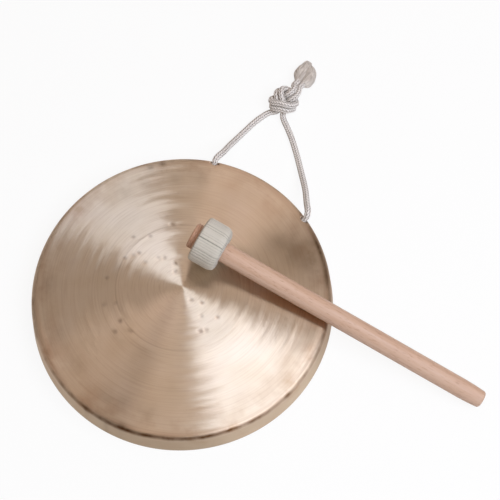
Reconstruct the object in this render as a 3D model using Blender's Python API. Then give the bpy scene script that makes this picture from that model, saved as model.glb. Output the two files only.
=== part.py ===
"""Hand gong lying face up on its rim, with its hanging cord and its wrapped beater.

Blender 4.5, metres, +Z up. The origin is the centre of the striking face, +Y runs between
the two cord holes, and the table that the gong lies on is one gong height below the origin.
"""

import math

import bmesh
import bpy
import numpy as np
from mathutils import Matrix, Vector

CLEARANCE = 0.0003  # between neighbouring pieces

# Gong: a flat disc, a gently sloping zone, a rounded shoulder and a slightly flared rim
SHOULDER_RADIUS = 0.108
SHOULDER_ROUND = 0.004
DISC_RADIUS = 0.0485
FACE_DROP = 0.0045
GONG_HEIGHT = 0.0265
GONG_WALL = 0.0015
RIM_FLARE = math.radians(6.4)
LIP_CHAMFER = 0.0003
SHOULDER_STEPS = 7
GONG_SEGMENTS = 128

# Cord holes, drilled through the shoulder on each side of +Y
HOLE_RADIUS = 0.0031
HOLE_SPREAD = math.radians(22.4)
HOLE_TILT = math.radians(45)
CUTTER_LENGTH = 0.012

# Beater, along its own +X from the middle of the wrapped head to the handle's end
HANDLE_REACH = 0.2205
SHAFT_RADIUS = 0.0072
HANDLE_RADIUS = 0.0070
HANDLE_END_RADIUS = 0.0063
HANDLE_END_TAPER = 0.016
HANDLE_END_ROUND = 0.0022
CORE_RADIUS = 0.0095
CORE_STEP = 0.002
TIP_LENGTH = 0.0052
TIP_ROUND = 0.0015
SHAFT_SEGMENTS = 40
HEAD_X = 0.0024
HEAD_Y = 0.0347
BEATER_AZIMUTH = math.radians(6.5)

# Head wrap: one ribbed tape wound round the core
TAPE_WIDTH = 0.0204
TAPE_NARROWING = 0.0026
TAPE_THICKNESS = 0.0012
TAPE_GAP = 0.00045
TAPE_TURNS = 4
TAPE_START = math.radians(205)
TAPE_CORNER = 0.00035
POINTS_PER_TURN = 24

# Cord: its radius, the less that the knot squeezes it to, and how its tubes are stepped
CORD_RADIUS = 0.0024
KNOT_CORD_RADIUS = 0.0021
KNOT_GAP = 0.0005
KNOT_EASE = 0.0055
CORD_RESOLUTION = 3
CORD_STEP = 0.010
CORD_STEP_TURN = math.radians(17)
CORD_END_STEP = 0.0006
ROUTE_STEP = 0.003
SMOOTHING_STEP = 0.0004


def mm(*rows):
    """Rows of values written in millimetres, as metres."""
    return np.array(rows, float) * 0.001


# Knot: the middle line of the two strands, from the knot's middle out to where they turn up
# or down to leave it. The lower half is the same route turned half round about the knot's X.
KNOT_HALF = mm(
    (6.8, 0, 0), (5.6, -4.8, 4.4), (0.2, -7.4, 4.6), (-5.4, -8.9, 1.7), (-9.0, -4.8, -2.8),
    (-7.0, 0.1, -5.1), (-2.3, 3.0, -0.8), (1.2, 6.4, 4.2), (1.5, 9.4, 4.0),
)
KNOT_X = -0.0290
KNOT_Y = 0.1762
KNOT_HALF_THICKNESS = 0.0093
KNOT_TURN = math.radians(-6)

# The strands part from each other this long before the two ends of that route
LOWER_PARTING = 0.0056
UPPER_PARTING = 0.0012

# Necks, from over the knot up to the frayed ends, with heights above the table
LEFT_NECK = mm((-24.4, 187.6, 12.2))
RIGHT_NECK = mm((-29.5, 188.6, 14.1))

# Legs, from under the knot down to the shoulder, with heights above the table. The knot's
# strand reaches to the third point.
LEFT_LEG = mm(
    (-32.0, 168.7, 3.7), (-35.5, 165.6, 2.6), (-38.2, 160.4, 2.5), (-40.4, 153.2, 2.5), (-42.4, 142.0, 2.6),
    (-43.2, 130.0, 5.4), (-42.6, 118.5, 12.0), (-41.0, 108.3, 20.0),
)
RIGHT_LEG = mm(
    (-26.1, 168.5, 5.2), (-23.5, 165.6, 3.7), (-19.6, 163.1, 2.9), (-9.8, 156.3, 2.5), (6.2, 142.4, 2.6),
    (16.2, 132.4, 5.8), (26.6, 121.0, 12.4), (36.2, 108.4, 20.8), (40.4, 102.4, 23.6),
)
LEG_FROM_HOLE = 0.0016
LEG_IN_HOLE = 0.0018

# Inside run between the holes, with heights above the table
INNER_RUN = mm((-35.5, 94.0, 15.2), (-22, 92.8, 13.0), (0, 92.0, 12.4), (22, 92.8, 13.0), (35.5, 94.0, 15.2))
INNER_FROM_HOLE = 0.0045

# Frayed ends, as sections across them: the distance ahead of the cord's end, where the seam
# between the two is, how far out the section reaches, its half thickness and how far its
# middle lies below the cord's end
END_X = -0.0296
END_Y = 0.1972
END_HEIGHT = 0.0084
END_SPACING = 0.0056
END_SLOPE = math.radians(20)
SEAM_GAP = 0.0004
TUFT_STEP = 0.0016
TUFT_SIDES = 16
LEFT_TUFT = mm(
    (2.0, 0.1, -6.4, 2.8, 0.7), (4.5, 0.0, -8.6, 3.8, 1.6), (8, -0.6, -9.9, 4.8, 2.6), (12, -2.0, -9.9, 4.8, 3.2),
    (16, -3.8, -9.0, 4.0, 3.6), (19.4, -5.4, -8.6, 2.6, 3.8), (21.4, -6.4, -8.2, 1.2, 4.0),
)
RIGHT_TUFT = mm(
    (2.0, 0.1, 7.4, 3.4, 0.7), (4.5, 0.0, 8.0, 4.4, 1.6), (8, -0.6, 7.8, 5.0, 2.6), (12, -2.0, 6.8, 4.8, 3.2),
    (16, -3.8, 4.6, 3.8, 3.6), (18.6, -4.9, 1.8, 2.4, 3.8), (20.0, -5.5, -2.0, 1.2, 3.9),
)


def clear_scene():
    for item in list(bpy.data.objects):
        bpy.data.objects.remove(item, do_unlink=True)


def material(name, colour, roughness, metallic):
    made = bpy.data.materials.new(name)
    made.use_nodes = True
    shader = made.node_tree.nodes["Principled BSDF"]
    shader.inputs["Base Color"].default_value = (*colour, 1)
    shader.inputs["Roughness"].default_value = roughness
    shader.inputs["Metallic"].default_value = metallic
    made.diffuse_color = (*colour, 1)
    return made


def add_object(name, data, stuff):
    made = bpy.data.objects.new(name, data)
    data.materials.append(stuff)
    bpy.context.scene.collection.objects.link(made)
    return made


def turned(name, profile, axis, segments, stuff):
    """A solid of revolution of (radius, height) points, from one end of the axis to the other."""
    across = Vector((0, 0, 1)) if axis == "X" else Vector((1, 0, 0))
    along = Vector((1, 0, 0)) if axis == "X" else Vector((0, 0, 1))
    bm = bmesh.new()
    points = [bm.verts.new(across * radius + along * height) for radius, height in profile]
    edges = [bm.edges.new(pair) for pair in zip(points, points[1:])]
    bmesh.ops.spin(
        bm, geom=points + edges, axis=along, cent=(0, 0, 0), angle=2 * math.pi, steps=segments, use_merge=True
    )
    bmesh.ops.remove_doubles(bm, verts=bm.verts, dist=1e-7)
    bmesh.ops.recalc_face_normals(bm, faces=bm.faces)
    mesh = bpy.data.meshes.new(name)
    bm.to_mesh(mesh)
    bm.free()
    return add_object(name, mesh, stuff)


def lofted(name, rings, stuff):
    """A closed solid through rings of points, each ring with as many points, with a flat cap at each end."""
    bm = bmesh.new()
    loops = [[bm.verts.new(point) for point in ring] for ring in rings]
    for first, second in zip(loops, loops[1:]):
        count = len(first)
        for i in range(count):
            j = (i + 1) % count
            bm.faces.new((first[i], first[j], second[j], second[i]))
    bm.faces.new(loops[0])
    bm.faces.new(loops[-1])
    bmesh.ops.recalc_face_normals(bm, faces=bm.faces)
    mesh = bpy.data.meshes.new(name)
    bm.to_mesh(mesh)
    bm.free()
    return add_object(name, mesh, stuff)


# Gong


def shoulder():
    """The shoulder's centre as (radius, height), and the face's slope, which is tangent to it."""
    centre_radius = SHOULDER_RADIUS - SHOULDER_ROUND
    run = centre_radius - DISC_RADIUS
    slope = math.atan2(FACE_DROP, run)
    centre_height = -(SHOULDER_ROUND + run * math.sin(slope)) / math.cos(slope)
    return centre_radius, centre_height, slope


def shoulder_arc(radius):
    """Points of the shoulder from the face round to the rim, at this distance from its centre."""
    centre_radius, centre_height, slope = shoulder()
    angles = np.linspace(slope, math.pi / 2 - RIM_FLARE, SHOULDER_STEPS)
    return [(centre_radius + radius * math.sin(a), centre_height + radius * math.cos(a)) for a in angles]


def rim_radius(start, height):
    """The radius of the flared rim at a height, from the shoulder's last point."""
    return start[0] + (start[1] - height) * math.tan(RIM_FLARE)


def gong_profile():
    """Outside from the axis to the lip, then inside back to the axis."""
    slope = shoulder()[2]
    outside = shoulder_arc(SHOULDER_ROUND)
    inside = shoulder_arc(SHOULDER_ROUND - GONG_WALL)
    lip = -GONG_HEIGHT
    outer_lip = rim_radius(outside[-1], lip)
    inner_lip = rim_radius(inside[-1], lip)
    break_shift = GONG_WALL * math.tan(slope / 2)
    return [
        (0, 0),
        (DISC_RADIUS, 0),
        *outside,
        (rim_radius(outside[-1], lip + LIP_CHAMFER), lip + LIP_CHAMFER),
        (outer_lip - LIP_CHAMFER, lip),
        (inner_lip + LIP_CHAMFER, lip),
        (rim_radius(inside[-1], lip + LIP_CHAMFER), lip + LIP_CHAMFER),
        *reversed(inside),
        (DISC_RADIUS - break_shift, -GONG_WALL),
        (0, -GONG_WALL),
    ]


def face_height(radius):
    """The height of the gong's upper surface at each radius, and far below it outside the shoulder."""
    centre_radius, centre_height, slope = shoulder()
    tangent = centre_radius + SHOULDER_ROUND * math.sin(slope)
    on_slope = -(radius - DISC_RADIUS) * math.tan(slope)
    beside = np.clip(radius - centre_radius, 0, SHOULDER_ROUND)
    on_shoulder = centre_height + np.sqrt(SHOULDER_ROUND**2 - beside**2)
    height = np.where(radius < DISC_RADIUS, 0, np.where(radius < tangent, on_slope, on_shoulder))
    return np.where(radius < SHOULDER_RADIUS, height, -GONG_HEIGHT)


def hole_point(side, distance):
    """A point on a cord hole's axis, measured outwards from the middle of the wall."""
    centre_radius, centre_height, _ = shoulder()
    reach = SHOULDER_ROUND - GONG_WALL / 2 + distance
    radius = centre_radius + reach * math.sin(HOLE_TILT)
    height = centre_height + reach * math.cos(HOLE_TILT)
    return np.array([side * radius * math.sin(HOLE_SPREAD), radius * math.cos(HOLE_SPREAD), height])


def make_gong(stuff):
    gong = turned("gong_disc", gong_profile(), "Z", GONG_SEGMENTS, stuff)
    for name, side in (("left", -1), ("right", 1)):
        bpy.ops.mesh.primitive_cylinder_add(radius=HOLE_RADIUS, depth=CUTTER_LENGTH, vertices=24)
        cutter = bpy.context.object
        cutter.name = f"{name}_hole_cutter"
        middle = Vector(hole_point(side, 0))
        outwards = Vector(hole_point(side, 1)) - middle
        cutter.matrix_world = Matrix.Translation(middle) @ outwards.to_track_quat("Z", "Y").to_matrix().to_4x4()
        cutter.hide_render = True
        cutter.display_type = "WIRE"
        cut = gong.modifiers.new(f"{name}_cord_hole", "BOOLEAN")
        cut.operation = "DIFFERENCE"
        cut.solver = "EXACT"
        cut.object = cutter
    return gong


# Beater


def wrap_radius(angle):
    """The inside radius of the tape after winding through this angle."""
    pitch = TAPE_THICKNESS + TAPE_GAP
    return CORE_RADIUS + CLEARANCE + pitch * angle / (2 * math.pi)


def tape_section(angle):
    """The tape's cross-section as (along the beater, radius) points, narrower on the outer turns."""
    wound = angle / (2 * math.pi * TAPE_TURNS)
    half = (TAPE_WIDTH - TAPE_NARROWING * wound**2) / 2
    low = wrap_radius(angle)
    high = low + TAPE_THICKNESS
    cut = TAPE_CORNER
    return [
        (-half + cut, low), (half - cut, low), (half, low + cut), (half, high - cut),
        (half - cut, high), (-half + cut, high), (-half, high - cut), (-half, low + cut),
    ]


def tape_rings():
    """The wound tape in the beater's own frame, as a section at each step of the winding."""
    rings = []
    for angle in np.linspace(0, 2 * math.pi * TAPE_TURNS, POINTS_PER_TURN * TAPE_TURNS + 1):
        turn = TAPE_START + angle
        rings.append([(x, r * math.sin(turn), r * math.cos(turn)) for x, r in tape_section(angle)])
    return np.array(rings)


def print_least_wrap_gap(rings):
    """Measures the gap between each turn's outside and the next turn's inside, point by point."""
    inside = np.linalg.norm(rings[POINTS_PER_TURN:, 0:2, 1:], axis=2)
    outside = np.linalg.norm(rings[:-POINTS_PER_TURN, 4:6, 1:], axis=2)
    facet = math.cos(math.pi / POINTS_PER_TURN)
    print(f"head wrap: least gap between turns {(inside - outside).min() * facet * 1000:.3f} mm")


def shaft_profile():
    """The turned stick as (radius, distance along it), from the tip to the handle's end."""
    half_wrap = TAPE_WIDTH / 2
    tip = -half_wrap - TIP_LENGTH
    core_end = half_wrap + CLEARANCE
    taper_start = HANDLE_REACH - HANDLE_END_TAPER
    corner = HANDLE_REACH - HANDLE_END_ROUND
    rounded = [
        (CORE_RADIUS - TIP_ROUND * (1 - math.sin(a)), tip + TIP_ROUND * (1 - math.cos(a)))
        for a in np.linspace(0, math.pi / 2, 5)
    ]
    end = [
        (HANDLE_END_RADIUS - HANDLE_END_ROUND * (1 - math.cos(a)), corner + HANDLE_END_ROUND * math.sin(a))
        for a in np.linspace(0, math.pi / 2, 6)
    ]
    cove = [
        (SHAFT_RADIUS + (CORE_RADIUS - SHAFT_RADIUS) * (1 - math.sin(a)), core_end + CORE_STEP * (1 - math.cos(a)))
        for a in np.linspace(0, math.pi / 2, 6)
    ]
    middle = HANDLE_REACH / 2
    halfway = (HANDLE_RADIUS + HANDLE_END_RADIUS) / 2 + (HANDLE_RADIUS - HANDLE_END_RADIUS) / 5
    return [
        (0, tip),
        *rounded,
        *cove,
        ((SHAFT_RADIUS + HANDLE_RADIUS) / 2, middle),
        (HANDLE_RADIUS, taper_start),
        (halfway, (taper_start + corner) / 2),
        *end,
        (0, HANDLE_REACH),
    ]


def beater_frame(slope, height):
    """The beater's place: its own +X turned to the handle's azimuth and tipped down by the slope."""
    turn = Matrix.Rotation(BEATER_AZIMUTH, 4, "Z") @ Matrix.Rotation(slope, 4, "Y")
    return Matrix.Translation((HEAD_X, HEAD_Y, height)) @ turn


def least_clearance(points, frame):
    """How far the lowest of these points stands above the gong or, beside it, above the table."""
    matrix = np.array(frame)
    placed = points @ matrix[:3, :3].T + matrix[:3, 3]
    return (placed[:, 2] - face_height(np.hypot(placed[:, 0], placed[:, 1]))).min()


def underside(profile):
    """Points all round the shaft, close enough along it to find where it touches the shoulder."""
    radii, places = np.array(profile).T
    along = np.linspace(places[0], places[-1], 400)
    radius = np.interp(along, places, radii)
    around = np.radians(np.arange(120, 241, 10))
    return np.array([
        (x, r * math.sin(a), r * math.cos(a)) for x, r in zip(along, radius) for a in around
    ])


def seated_beater(rings):
    """Lets the wrap down on the face, then tips the handle down until the shaft meets the shoulder or the table."""
    wrap = rings.reshape(-1, 3)
    shaft = underside(shaft_profile())
    low, high = 0.0, math.radians(45)
    for _ in range(40):
        slope = (low + high) / 2
        drop = least_clearance(wrap, beater_frame(slope, 0)) - CLEARANCE
        frame = beater_frame(slope, -drop)
        if least_clearance(shaft, frame) > CLEARANCE:
            low = slope
        else:
            high = slope
    return frame


def make_beater(wood, tape):
    rings = tape_rings()
    print_least_wrap_gap(rings)
    place = bpy.data.objects.new("beater_axis", None)
    bpy.context.scene.collection.objects.link(place)
    place.matrix_world = seated_beater(rings)
    shaft = turned("beater_shaft", shaft_profile(), "X", SHAFT_SEGMENTS, wood)
    wrap = lofted("beater_head_wrap", rings, tape)
    for piece in (shaft, wrap):
        piece.parent = place
    return place


# Cord


def smooth(points, step):
    """Points at about equal steps along the cubic spline through these ones, of any dimension."""
    points = np.asarray(points, float)
    last = len(points) - 1
    spans = np.linalg.norm(np.diff(points[:, :3], axis=0), axis=1)
    knots = np.concatenate([[0], np.cumsum(spans)])
    matrix = np.zeros((last + 1, last + 1))
    right = np.zeros_like(points)
    matrix[0, :2] = 2, 1
    right[0] = 3 * (points[1] - points[0]) / spans[0]
    matrix[last, last - 1 :] = 1, 2
    right[last] = 3 * (points[last] - points[last - 1]) / spans[-1]
    for i in range(1, last):
        before, after = spans[i - 1], spans[i]
        matrix[i, i - 1 : i + 2] = after, 2 * (before + after), before
        right[i] = 3 * (after * (points[i] - points[i - 1]) / before + before * (points[i + 1] - points[i]) / after)
    slopes = np.linalg.solve(matrix, right)

    def at(place):
        i = np.clip(np.searchsorted(knots, place) - 1, 0, last - 1)
        span = spans[i][:, None]
        u = ((place - knots[i]) / spans[i])[:, None]
        start = (2 * u**3 - 3 * u**2 + 1) * points[i] + (u**3 - 2 * u**2 + u) * span * slopes[i]
        return start + (3 * u**2 - 2 * u**3) * points[i + 1] + (u**3 - u**2) * span * slopes[i + 1]

    places = np.linspace(0, knots[-1], 60 * last)
    lengths = path_lengths(at(places))
    count = max(2, round(lengths[-1] / step) + 1)
    return at(np.interp(np.linspace(0, lengths[-1], count), lengths, places))


def path_lengths(points):
    """The distance along a path at each of its points."""
    steps = np.linalg.norm(np.diff(points[:, :3], axis=0), axis=1)
    return np.concatenate([[0], np.cumsum(steps)])


def directions(points):
    tangents = np.gradient(points, axis=0)
    return tangents / np.linalg.norm(tangents, axis=1)[:, None]


def least_twist(tangents, middle):
    """A direction square to the path at each point, nearly upright in the middle and not twisting from there."""
    across = np.zeros_like(tangents)
    start = np.array([0, 0, 1]) - tangents[middle, 2] * tangents[middle]
    across[middle] = start / np.linalg.norm(start)
    upwards = [(i, i - 1) for i in range(middle + 1, len(tangents))]
    downwards = [(i, i + 1) for i in range(middle - 1, -1, -1)]
    for i, neighbour in upwards + downwards:
        kept = across[neighbour] - (across[neighbour] @ tangents[i]) * tangents[i]
        across[i] = kept / np.linalg.norm(kept)
    return across


def knot_strands():
    """The two strands of the doubled overhand knot, each from its leg's side to its frayed end's side."""
    lower = KNOT_HALF[::-1] * np.array([1, -1, -1])
    centre = smooth(np.concatenate([lower, KNOT_HALF[1:]]), SMOOTHING_STEP)
    across = least_twist(directions(centre), len(centre) // 2)
    offset = across * (KNOT_CORD_RADIUS + KNOT_GAP / 2)
    turn = np.array(Matrix.Rotation(KNOT_TURN, 3, "Z"))
    middle = np.array([KNOT_X, KNOT_Y, KNOT_HALF_THICKNESS - GONG_HEIGHT])
    return (centre - offset) @ turn.T + middle, (centre + offset) @ turn.T + middle


def on_table(points):
    """Route points whose heights are given above the table, in the object's frame."""
    return np.asarray(points) - np.array([0, 0, GONG_HEIGHT])


def cord_end(side, back=0):
    """Where the cord frays, on one side of the seam, or a point this far back along its straight last stretch."""
    y, height = END_Y - back * math.cos(END_SLOPE), END_HEIGHT + back * math.sin(END_SLOPE)
    return on_table((END_X + side * END_SPACING / 2, y, height))


def cord_routes():
    """The whole cord as one smooth path, with the places along it where its named stretches end."""
    lower, upper, spacing = (round(step / SMOOTHING_STEP) for step in (LOWER_PARTING, UPPER_PARTING, ROUTE_STEP))
    left_strand, right_strand = (strand[lower:-upper:spacing] for strand in knot_strands())
    left_leg, right_leg, inner_run = on_table(LEFT_LEG), on_table(RIGHT_LEG), on_table(INNER_RUN)
    left, right = -1, 1
    straight = np.array([0, CORD_RADIUS, 2 * CORD_RADIUS])
    right_end, left_end = ([cord_end(side, back) for back in straight] for side in (right, left))
    stretches = [
        [*right_end, *on_table(LEFT_NECK), *left_strand[::-1], *left_leg[:3]],
        [*left_leg[3:], hole_point(left, LEG_FROM_HOLE), hole_point(left, -LEG_IN_HOLE)],
        [hole_point(left, -INNER_FROM_HOLE), *inner_run, hole_point(right, -INNER_FROM_HOLE)],
        [hole_point(right, -LEG_IN_HOLE), hole_point(right, LEG_FROM_HOLE), *right_leg[:2:-1]],
        [*right_leg[2::-1], *right_strand, *on_table(RIGHT_NECK), *left_end[::-1]],
    ]
    path = smooth([point for stretch in stretches for point in stretch], SMOOTHING_STEP)
    meetings = (stretches[0][-1], stretches[1][-1], stretches[3][0], stretches[4][0])
    return path, [int(np.argmin(np.linalg.norm(path - point, axis=1))) for point in meetings]


def stretch_of(path, first, last):
    """A stretch of the path, half a clearance short at each end, with more points where it bends more.

    A short first and last step keeps its end faces square to the path.
    """
    piece = path[first : last + 1]
    lengths = path_lengths(piece)
    ahead = directions(piece)
    turns = np.arccos(np.clip((ahead[1:] * ahead[:-1]).sum(axis=1), -1, 1))
    pace = lengths / CORD_STEP + np.concatenate([[0], np.cumsum(turns)]) / CORD_STEP_TURN
    start, end = CLEARANCE / 2, lengths[-1] - CLEARANCE / 2
    low, high = np.interp([start + CORD_END_STEP, end - CORD_END_STEP], lengths, pace)
    between = np.interp(np.linspace(low, high, math.ceil(high - low) + 1), pace, lengths)
    places = [start, *between, end]
    return np.column_stack([np.interp(places, lengths, piece[:, k]) for k in range(3)])


def cord_tube(name, points, radii, stuff):
    curve = bpy.data.curves.new(name, "CURVE")
    curve.dimensions = "3D"
    curve.bevel_depth = CORD_RADIUS
    curve.bevel_resolution = CORD_RESOLUTION
    curve.use_fill_caps = True
    spline = curve.splines.new("POLY")
    spline.points.add(len(points) - 1)
    for target, point, radius in zip(spline.points, points, radii):
        target.co = (*point, 1)
        target.radius = radius / CORD_RADIUS
    return add_object(name, curve, stuff)


def squeezed(points):
    """The cord's radius along a knot strand: full at its two ends, less in the knot."""
    lengths = path_lengths(points)
    share = np.clip(np.minimum(lengths, lengths[-1] - lengths) / KNOT_EASE, 0, 1)
    return CORD_RADIUS + (KNOT_CORD_RADIUS - CORD_RADIUS) * share**2 * (3 - 2 * share)


def tuft(name, side, sections, stuff):
    """A frayed end: it widens from the cord's round end away from the seam, then draws in to a soft point."""
    end = cord_end(side)
    near, far = END_SPACING / 2 - CORD_RADIUS, END_SPACING / 2 + CORD_RADIUS
    foot = np.array([0, side * near, side * far, CORD_RADIUS, 0])
    shaped = np.array(sections)
    shaped[:, 1] += side * SEAM_GAP / 2
    shaped = smooth_sections(np.vstack([foot, shaped]))
    slopes = np.arctan(np.gradient(shaped[:, 4], shaped[:, 0]))
    slopes[0] = END_SLOPE
    rings = []
    for (ahead, seam, out, half, drop), slope in zip(shaped, slopes):
        y, height = end[1] + ahead + CLEARANCE, end[2] - drop
        rings.append([
            (
                END_X + (seam + out) / 2 + (out - seam) / 2 * math.cos(a),
                y + half * math.sin(a) * math.sin(slope),
                height + half * math.sin(a) * math.cos(slope),
            )
            for a in np.linspace(0, 2 * math.pi, TUFT_SIDES, endpoint=False)
        ])
    return lofted(name, rings, stuff)


def smooth_sections(sections):
    """Sections at closer steps, each value on a monotone curve between the given ones."""
    ahead = sections[:, 0]
    places = np.linspace(ahead[0], ahead[-1], round((ahead[-1] - ahead[0]) / TUFT_STEP) + 1)
    slopes = np.diff(sections, axis=0) / np.diff(ahead)[:, None]
    same_way = slopes[1:] * slopes[:-1] > 0
    middle = np.where(same_way, 2 * slopes[1:] * slopes[:-1] / np.where(same_way, slopes[1:] + slopes[:-1], 1), 0)
    tangents = np.vstack([slopes[:1], middle, slopes[-1:]])
    i = np.clip(np.searchsorted(ahead, places) - 1, 0, len(ahead) - 2)
    span = (ahead[i + 1] - ahead[i])[:, None]
    u = ((places - ahead[i]) / span[:, 0])[:, None]
    start = (2 * u**3 - 3 * u**2 + 1) * sections[i] + (u**3 - 2 * u**2 + u) * span * tangents[i]
    return start + (3 * u**2 - 2 * u**3) * sections[i + 1] + (u**3 - u**2) * span * tangents[i + 1]


def print_least_knot_gap(strands):
    """Measures the least gap between the knot's tubes, on points of their middle lines and their radii."""
    least = math.inf
    window = 4.5 * KNOT_CORD_RADIUS
    fine = []
    for points, radii in strands:
        lengths = path_lengths(points)
        places = np.arange(0, lengths[-1], SMOOTHING_STEP)
        line = np.column_stack([np.interp(places, lengths, points[:, k]) for k in range(3)])
        fine.append((line, np.interp(places, lengths, radii), places))
    for i, (first, first_radii, first_places) in enumerate(fine):
        for j, (second, second_radii, second_places) in enumerate(fine[i:]):
            away = np.linalg.norm(first[:, None] - second[None], axis=2)
            gap = away - first_radii[:, None] - second_radii[None]
            if j == 0:
                gap[np.abs(first_places[:, None] - second_places[None]) < window] = math.inf
            least = min(least, gap.min())
    print(f"cord knot: least gap between its tubes {least * 1000:.3f} mm")


def make_cord(stuff):
    path, cuts = cord_routes()
    left_knot = stretch_of(path, 0, cuts[0])
    right_knot = stretch_of(path, cuts[3], len(path) - 1)
    strands = [(points, squeezed(points)) for points in (left_knot, right_knot)]
    print_least_knot_gap(strands)
    cord_tube("cord_left_knot_strand", *strands[0], stuff)
    cord_tube("cord_right_knot_strand", *strands[1], stuff)
    for name, first, last in (
        ("cord_left_leg", cuts[0], cuts[1]),
        ("cord_inner_run", cuts[1], cuts[2]),
        ("cord_right_leg", cuts[2], cuts[3]),
    ):
        points = stretch_of(path, first, last)
        cord_tube(name, points, [CORD_RADIUS] * len(points), stuff)
    tuft("cord_left_strand_end", 1, RIGHT_TUFT, stuff)
    tuft("cord_right_strand_end", -1, LEFT_TUFT, stuff)


def main():
    clear_scene()
    bronze = material("bronze", (0.62, 0.48, 0.36), 0.28, 1.0)
    beech = material("beech", (0.62, 0.40, 0.27), 0.55, 0.0)
    tape = material("cotton_tape", (0.56, 0.55, 0.50), 0.9, 0.0)
    nylon = material("nylon_cord", (0.66, 0.63, 0.58), 0.6, 0.0)
    make_gong(bronze)
    make_beater(beech, tape)
    make_cord(nylon)


main()
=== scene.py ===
"""Looks of the hand gong: a lathe-scraped bronze gong with its braided cord and its wrapped beater.

Blender 4.5, metres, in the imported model's frame: +Z up, the origin in the middle of the striking
face, +Y between the two cord holes. The table is one gong height below the origin.
"""

import math
from functools import partial

import bpy
import numpy as np
from mathutils import Matrix, Vector


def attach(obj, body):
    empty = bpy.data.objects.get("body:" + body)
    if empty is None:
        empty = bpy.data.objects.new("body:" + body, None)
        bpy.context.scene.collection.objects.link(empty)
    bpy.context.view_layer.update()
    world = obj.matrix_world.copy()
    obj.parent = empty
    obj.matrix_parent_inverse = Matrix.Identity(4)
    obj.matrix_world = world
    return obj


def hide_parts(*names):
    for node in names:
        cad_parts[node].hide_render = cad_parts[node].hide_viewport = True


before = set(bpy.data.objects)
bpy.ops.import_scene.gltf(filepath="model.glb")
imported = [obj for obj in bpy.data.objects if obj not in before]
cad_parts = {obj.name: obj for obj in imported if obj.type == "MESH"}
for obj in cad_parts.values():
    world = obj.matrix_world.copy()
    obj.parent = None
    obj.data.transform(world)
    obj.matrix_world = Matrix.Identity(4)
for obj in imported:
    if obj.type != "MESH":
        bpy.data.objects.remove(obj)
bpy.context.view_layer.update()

# Camera, where the photograph was taken from
CAMERA_PLACE = (0.2275, -0.2346, 0.8717)
CAMERA_RIGHT = (0.82096, 0.57097, -0.00399)
CAMERA_UP = (-0.52787, 0.76162, 0.37589)
CAMERA_BACK = (0.21766, -0.30649, 0.92666)
CAMERA_LENS = 93.6
CAMERA_SENSOR = 36.0
CAMERA_NEAR = 0.05
CAMERA_FAR = 20

# Softboxes round the gong: azimuth, elevation and turn in degrees, width, height, brightness, colour
LAMP_DISTANCE = 1.3
LAMPS = {
    "window": (2.5, 57.6, -22, 1.0, 0.77, 6.7, "#E8F0FF"),
    "side_fill": (73, 65, 0, 0.36, 0.36, 1.5, "#FFEDE2"),
    "back_fill": (115, 61, 0, 0.45, 0.45, 1.5, "#FFEDE2"),
    "far_fill": (108, 38, 0, 0.5, 0.4, 1.9, "#FFE9E2"),
    "left_fill": (192, 66, 0, 0.5, 0.5, 0.46, "#FFEBDC"),
    "low_left_fill": (232, 38, 0, 0.9, 0.4, 0.69, "#FFE9DC"),
    "front_fill": (-74, 75, 0, 0.45, 0.45, 2.1, "#FFEEE2"),
}

# The dim room, and its white backdrop, which fades out between two slopes of the line of sight
ROOM_COLOUR = "#FFD8B4"
ROOM_STRENGTH = 0.1
BACKDROP_FADE = (0.26, 0.45)

# Paper floor: how far it reaches, and how much of its white is there whatever the light
FLOOR_REACH = 4.0
FLOOR_WHITENESS = 0.9

# Gong: a flat disc, a gently sloping zone, a rounded shoulder and a slightly flared rim
SHOULDER_RADIUS = 0.108
SHOULDER_ROUND = 0.004
DISC_RADIUS = 0.0485
DISC_CROWN = 0.0003
FACE_DROP = 0.0045
GONG_HEIGHT = 0.0265
GONG_WALL = 0.0015
RIM_FLARE = math.radians(6.4)
LIP_ROUND = 0.0005
LIP_POINTS = 5
# The lip is a little uneven, so the floor lies just below its lowest point
FLOOR_CLEARANCE = 0.0003
PROFILE_STEP = 0.00085
SHOULDER_STEPS = 22
GONG_SEGMENTS = 320
UNEVENNESS = 0.00022
UNEVENNESS_WIDTH = 0.034
UNEVENNESS_SEED = 5
WELD_DISTANCE = 1e-6

# Cord holes
HOLE_RADIUS = 0.0031
HOLE_SPREAD = math.radians(22.4)
HOLE_TILT = math.radians(45)
DRILL_LENGTH = 0.012
DRILL_SIDES = 32

# Beater, along its own +X from the middle of the wrapped head to the handle's end
HANDLE_REACH = 0.2205
SHAFT_RADIUS = 0.0072
HANDLE_RADIUS = 0.0070
HANDLE_END_RADIUS = 0.0063
HANDLE_END_TAPER = 0.016
HANDLE_END_ROUND = 0.0022
HANDLE_END_FULLNESS = 0.2
CORE_RADIUS = 0.0095
CORE_STEP = 0.002
TIP_LENGTH = 0.0052
TIP_ROUND = 0.0015
TIP_GROOVES = (0.0021, 0.0037)
TIP_GROOVE_WIDTH = 0.0007
TIP_GROOVE_DEPTH = 0.00035
# A groove's shape, as (share of its half width, share of its depth)
TIP_GROOVE_SHAPE = ((-1, 0), (-0.5, 0.7), (0, 1), (0.5, 0.7), (1, 0))
SHAFT_SEGMENTS = 96
SHAFT_STATIONS = 60
TURNED_CORNER_POINTS = 9
POLE_RADIUS = 0.0001

# Head wrap: one ribbed tape wound round the core
TAPE_WIDTH = 0.0204
TAPE_THICKNESS = 0.0012
TAPE_GAP = 0.00045
TAPE_TURNS = 4
TAPE_START = math.radians(205)
TAPE_CORNER = 0.00045
TAPE_CORNER_POINTS = 3
TAPE_SECTION_POINTS = 44
TAPE_CLEARANCE = 0.0003
RIB_SPACING = 0.0021
RIB_HEIGHT = 0.0004
RIB_WANDER = 1.6
RIB_FULLNESS = 0.6
RIB_GROOVE_FILLING = 0.75
HANDLE_SIDE_CORNER = 0.0062
TIP_SIDE_CORNER = 0.0026
POINTS_PER_TURN = 380

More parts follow.
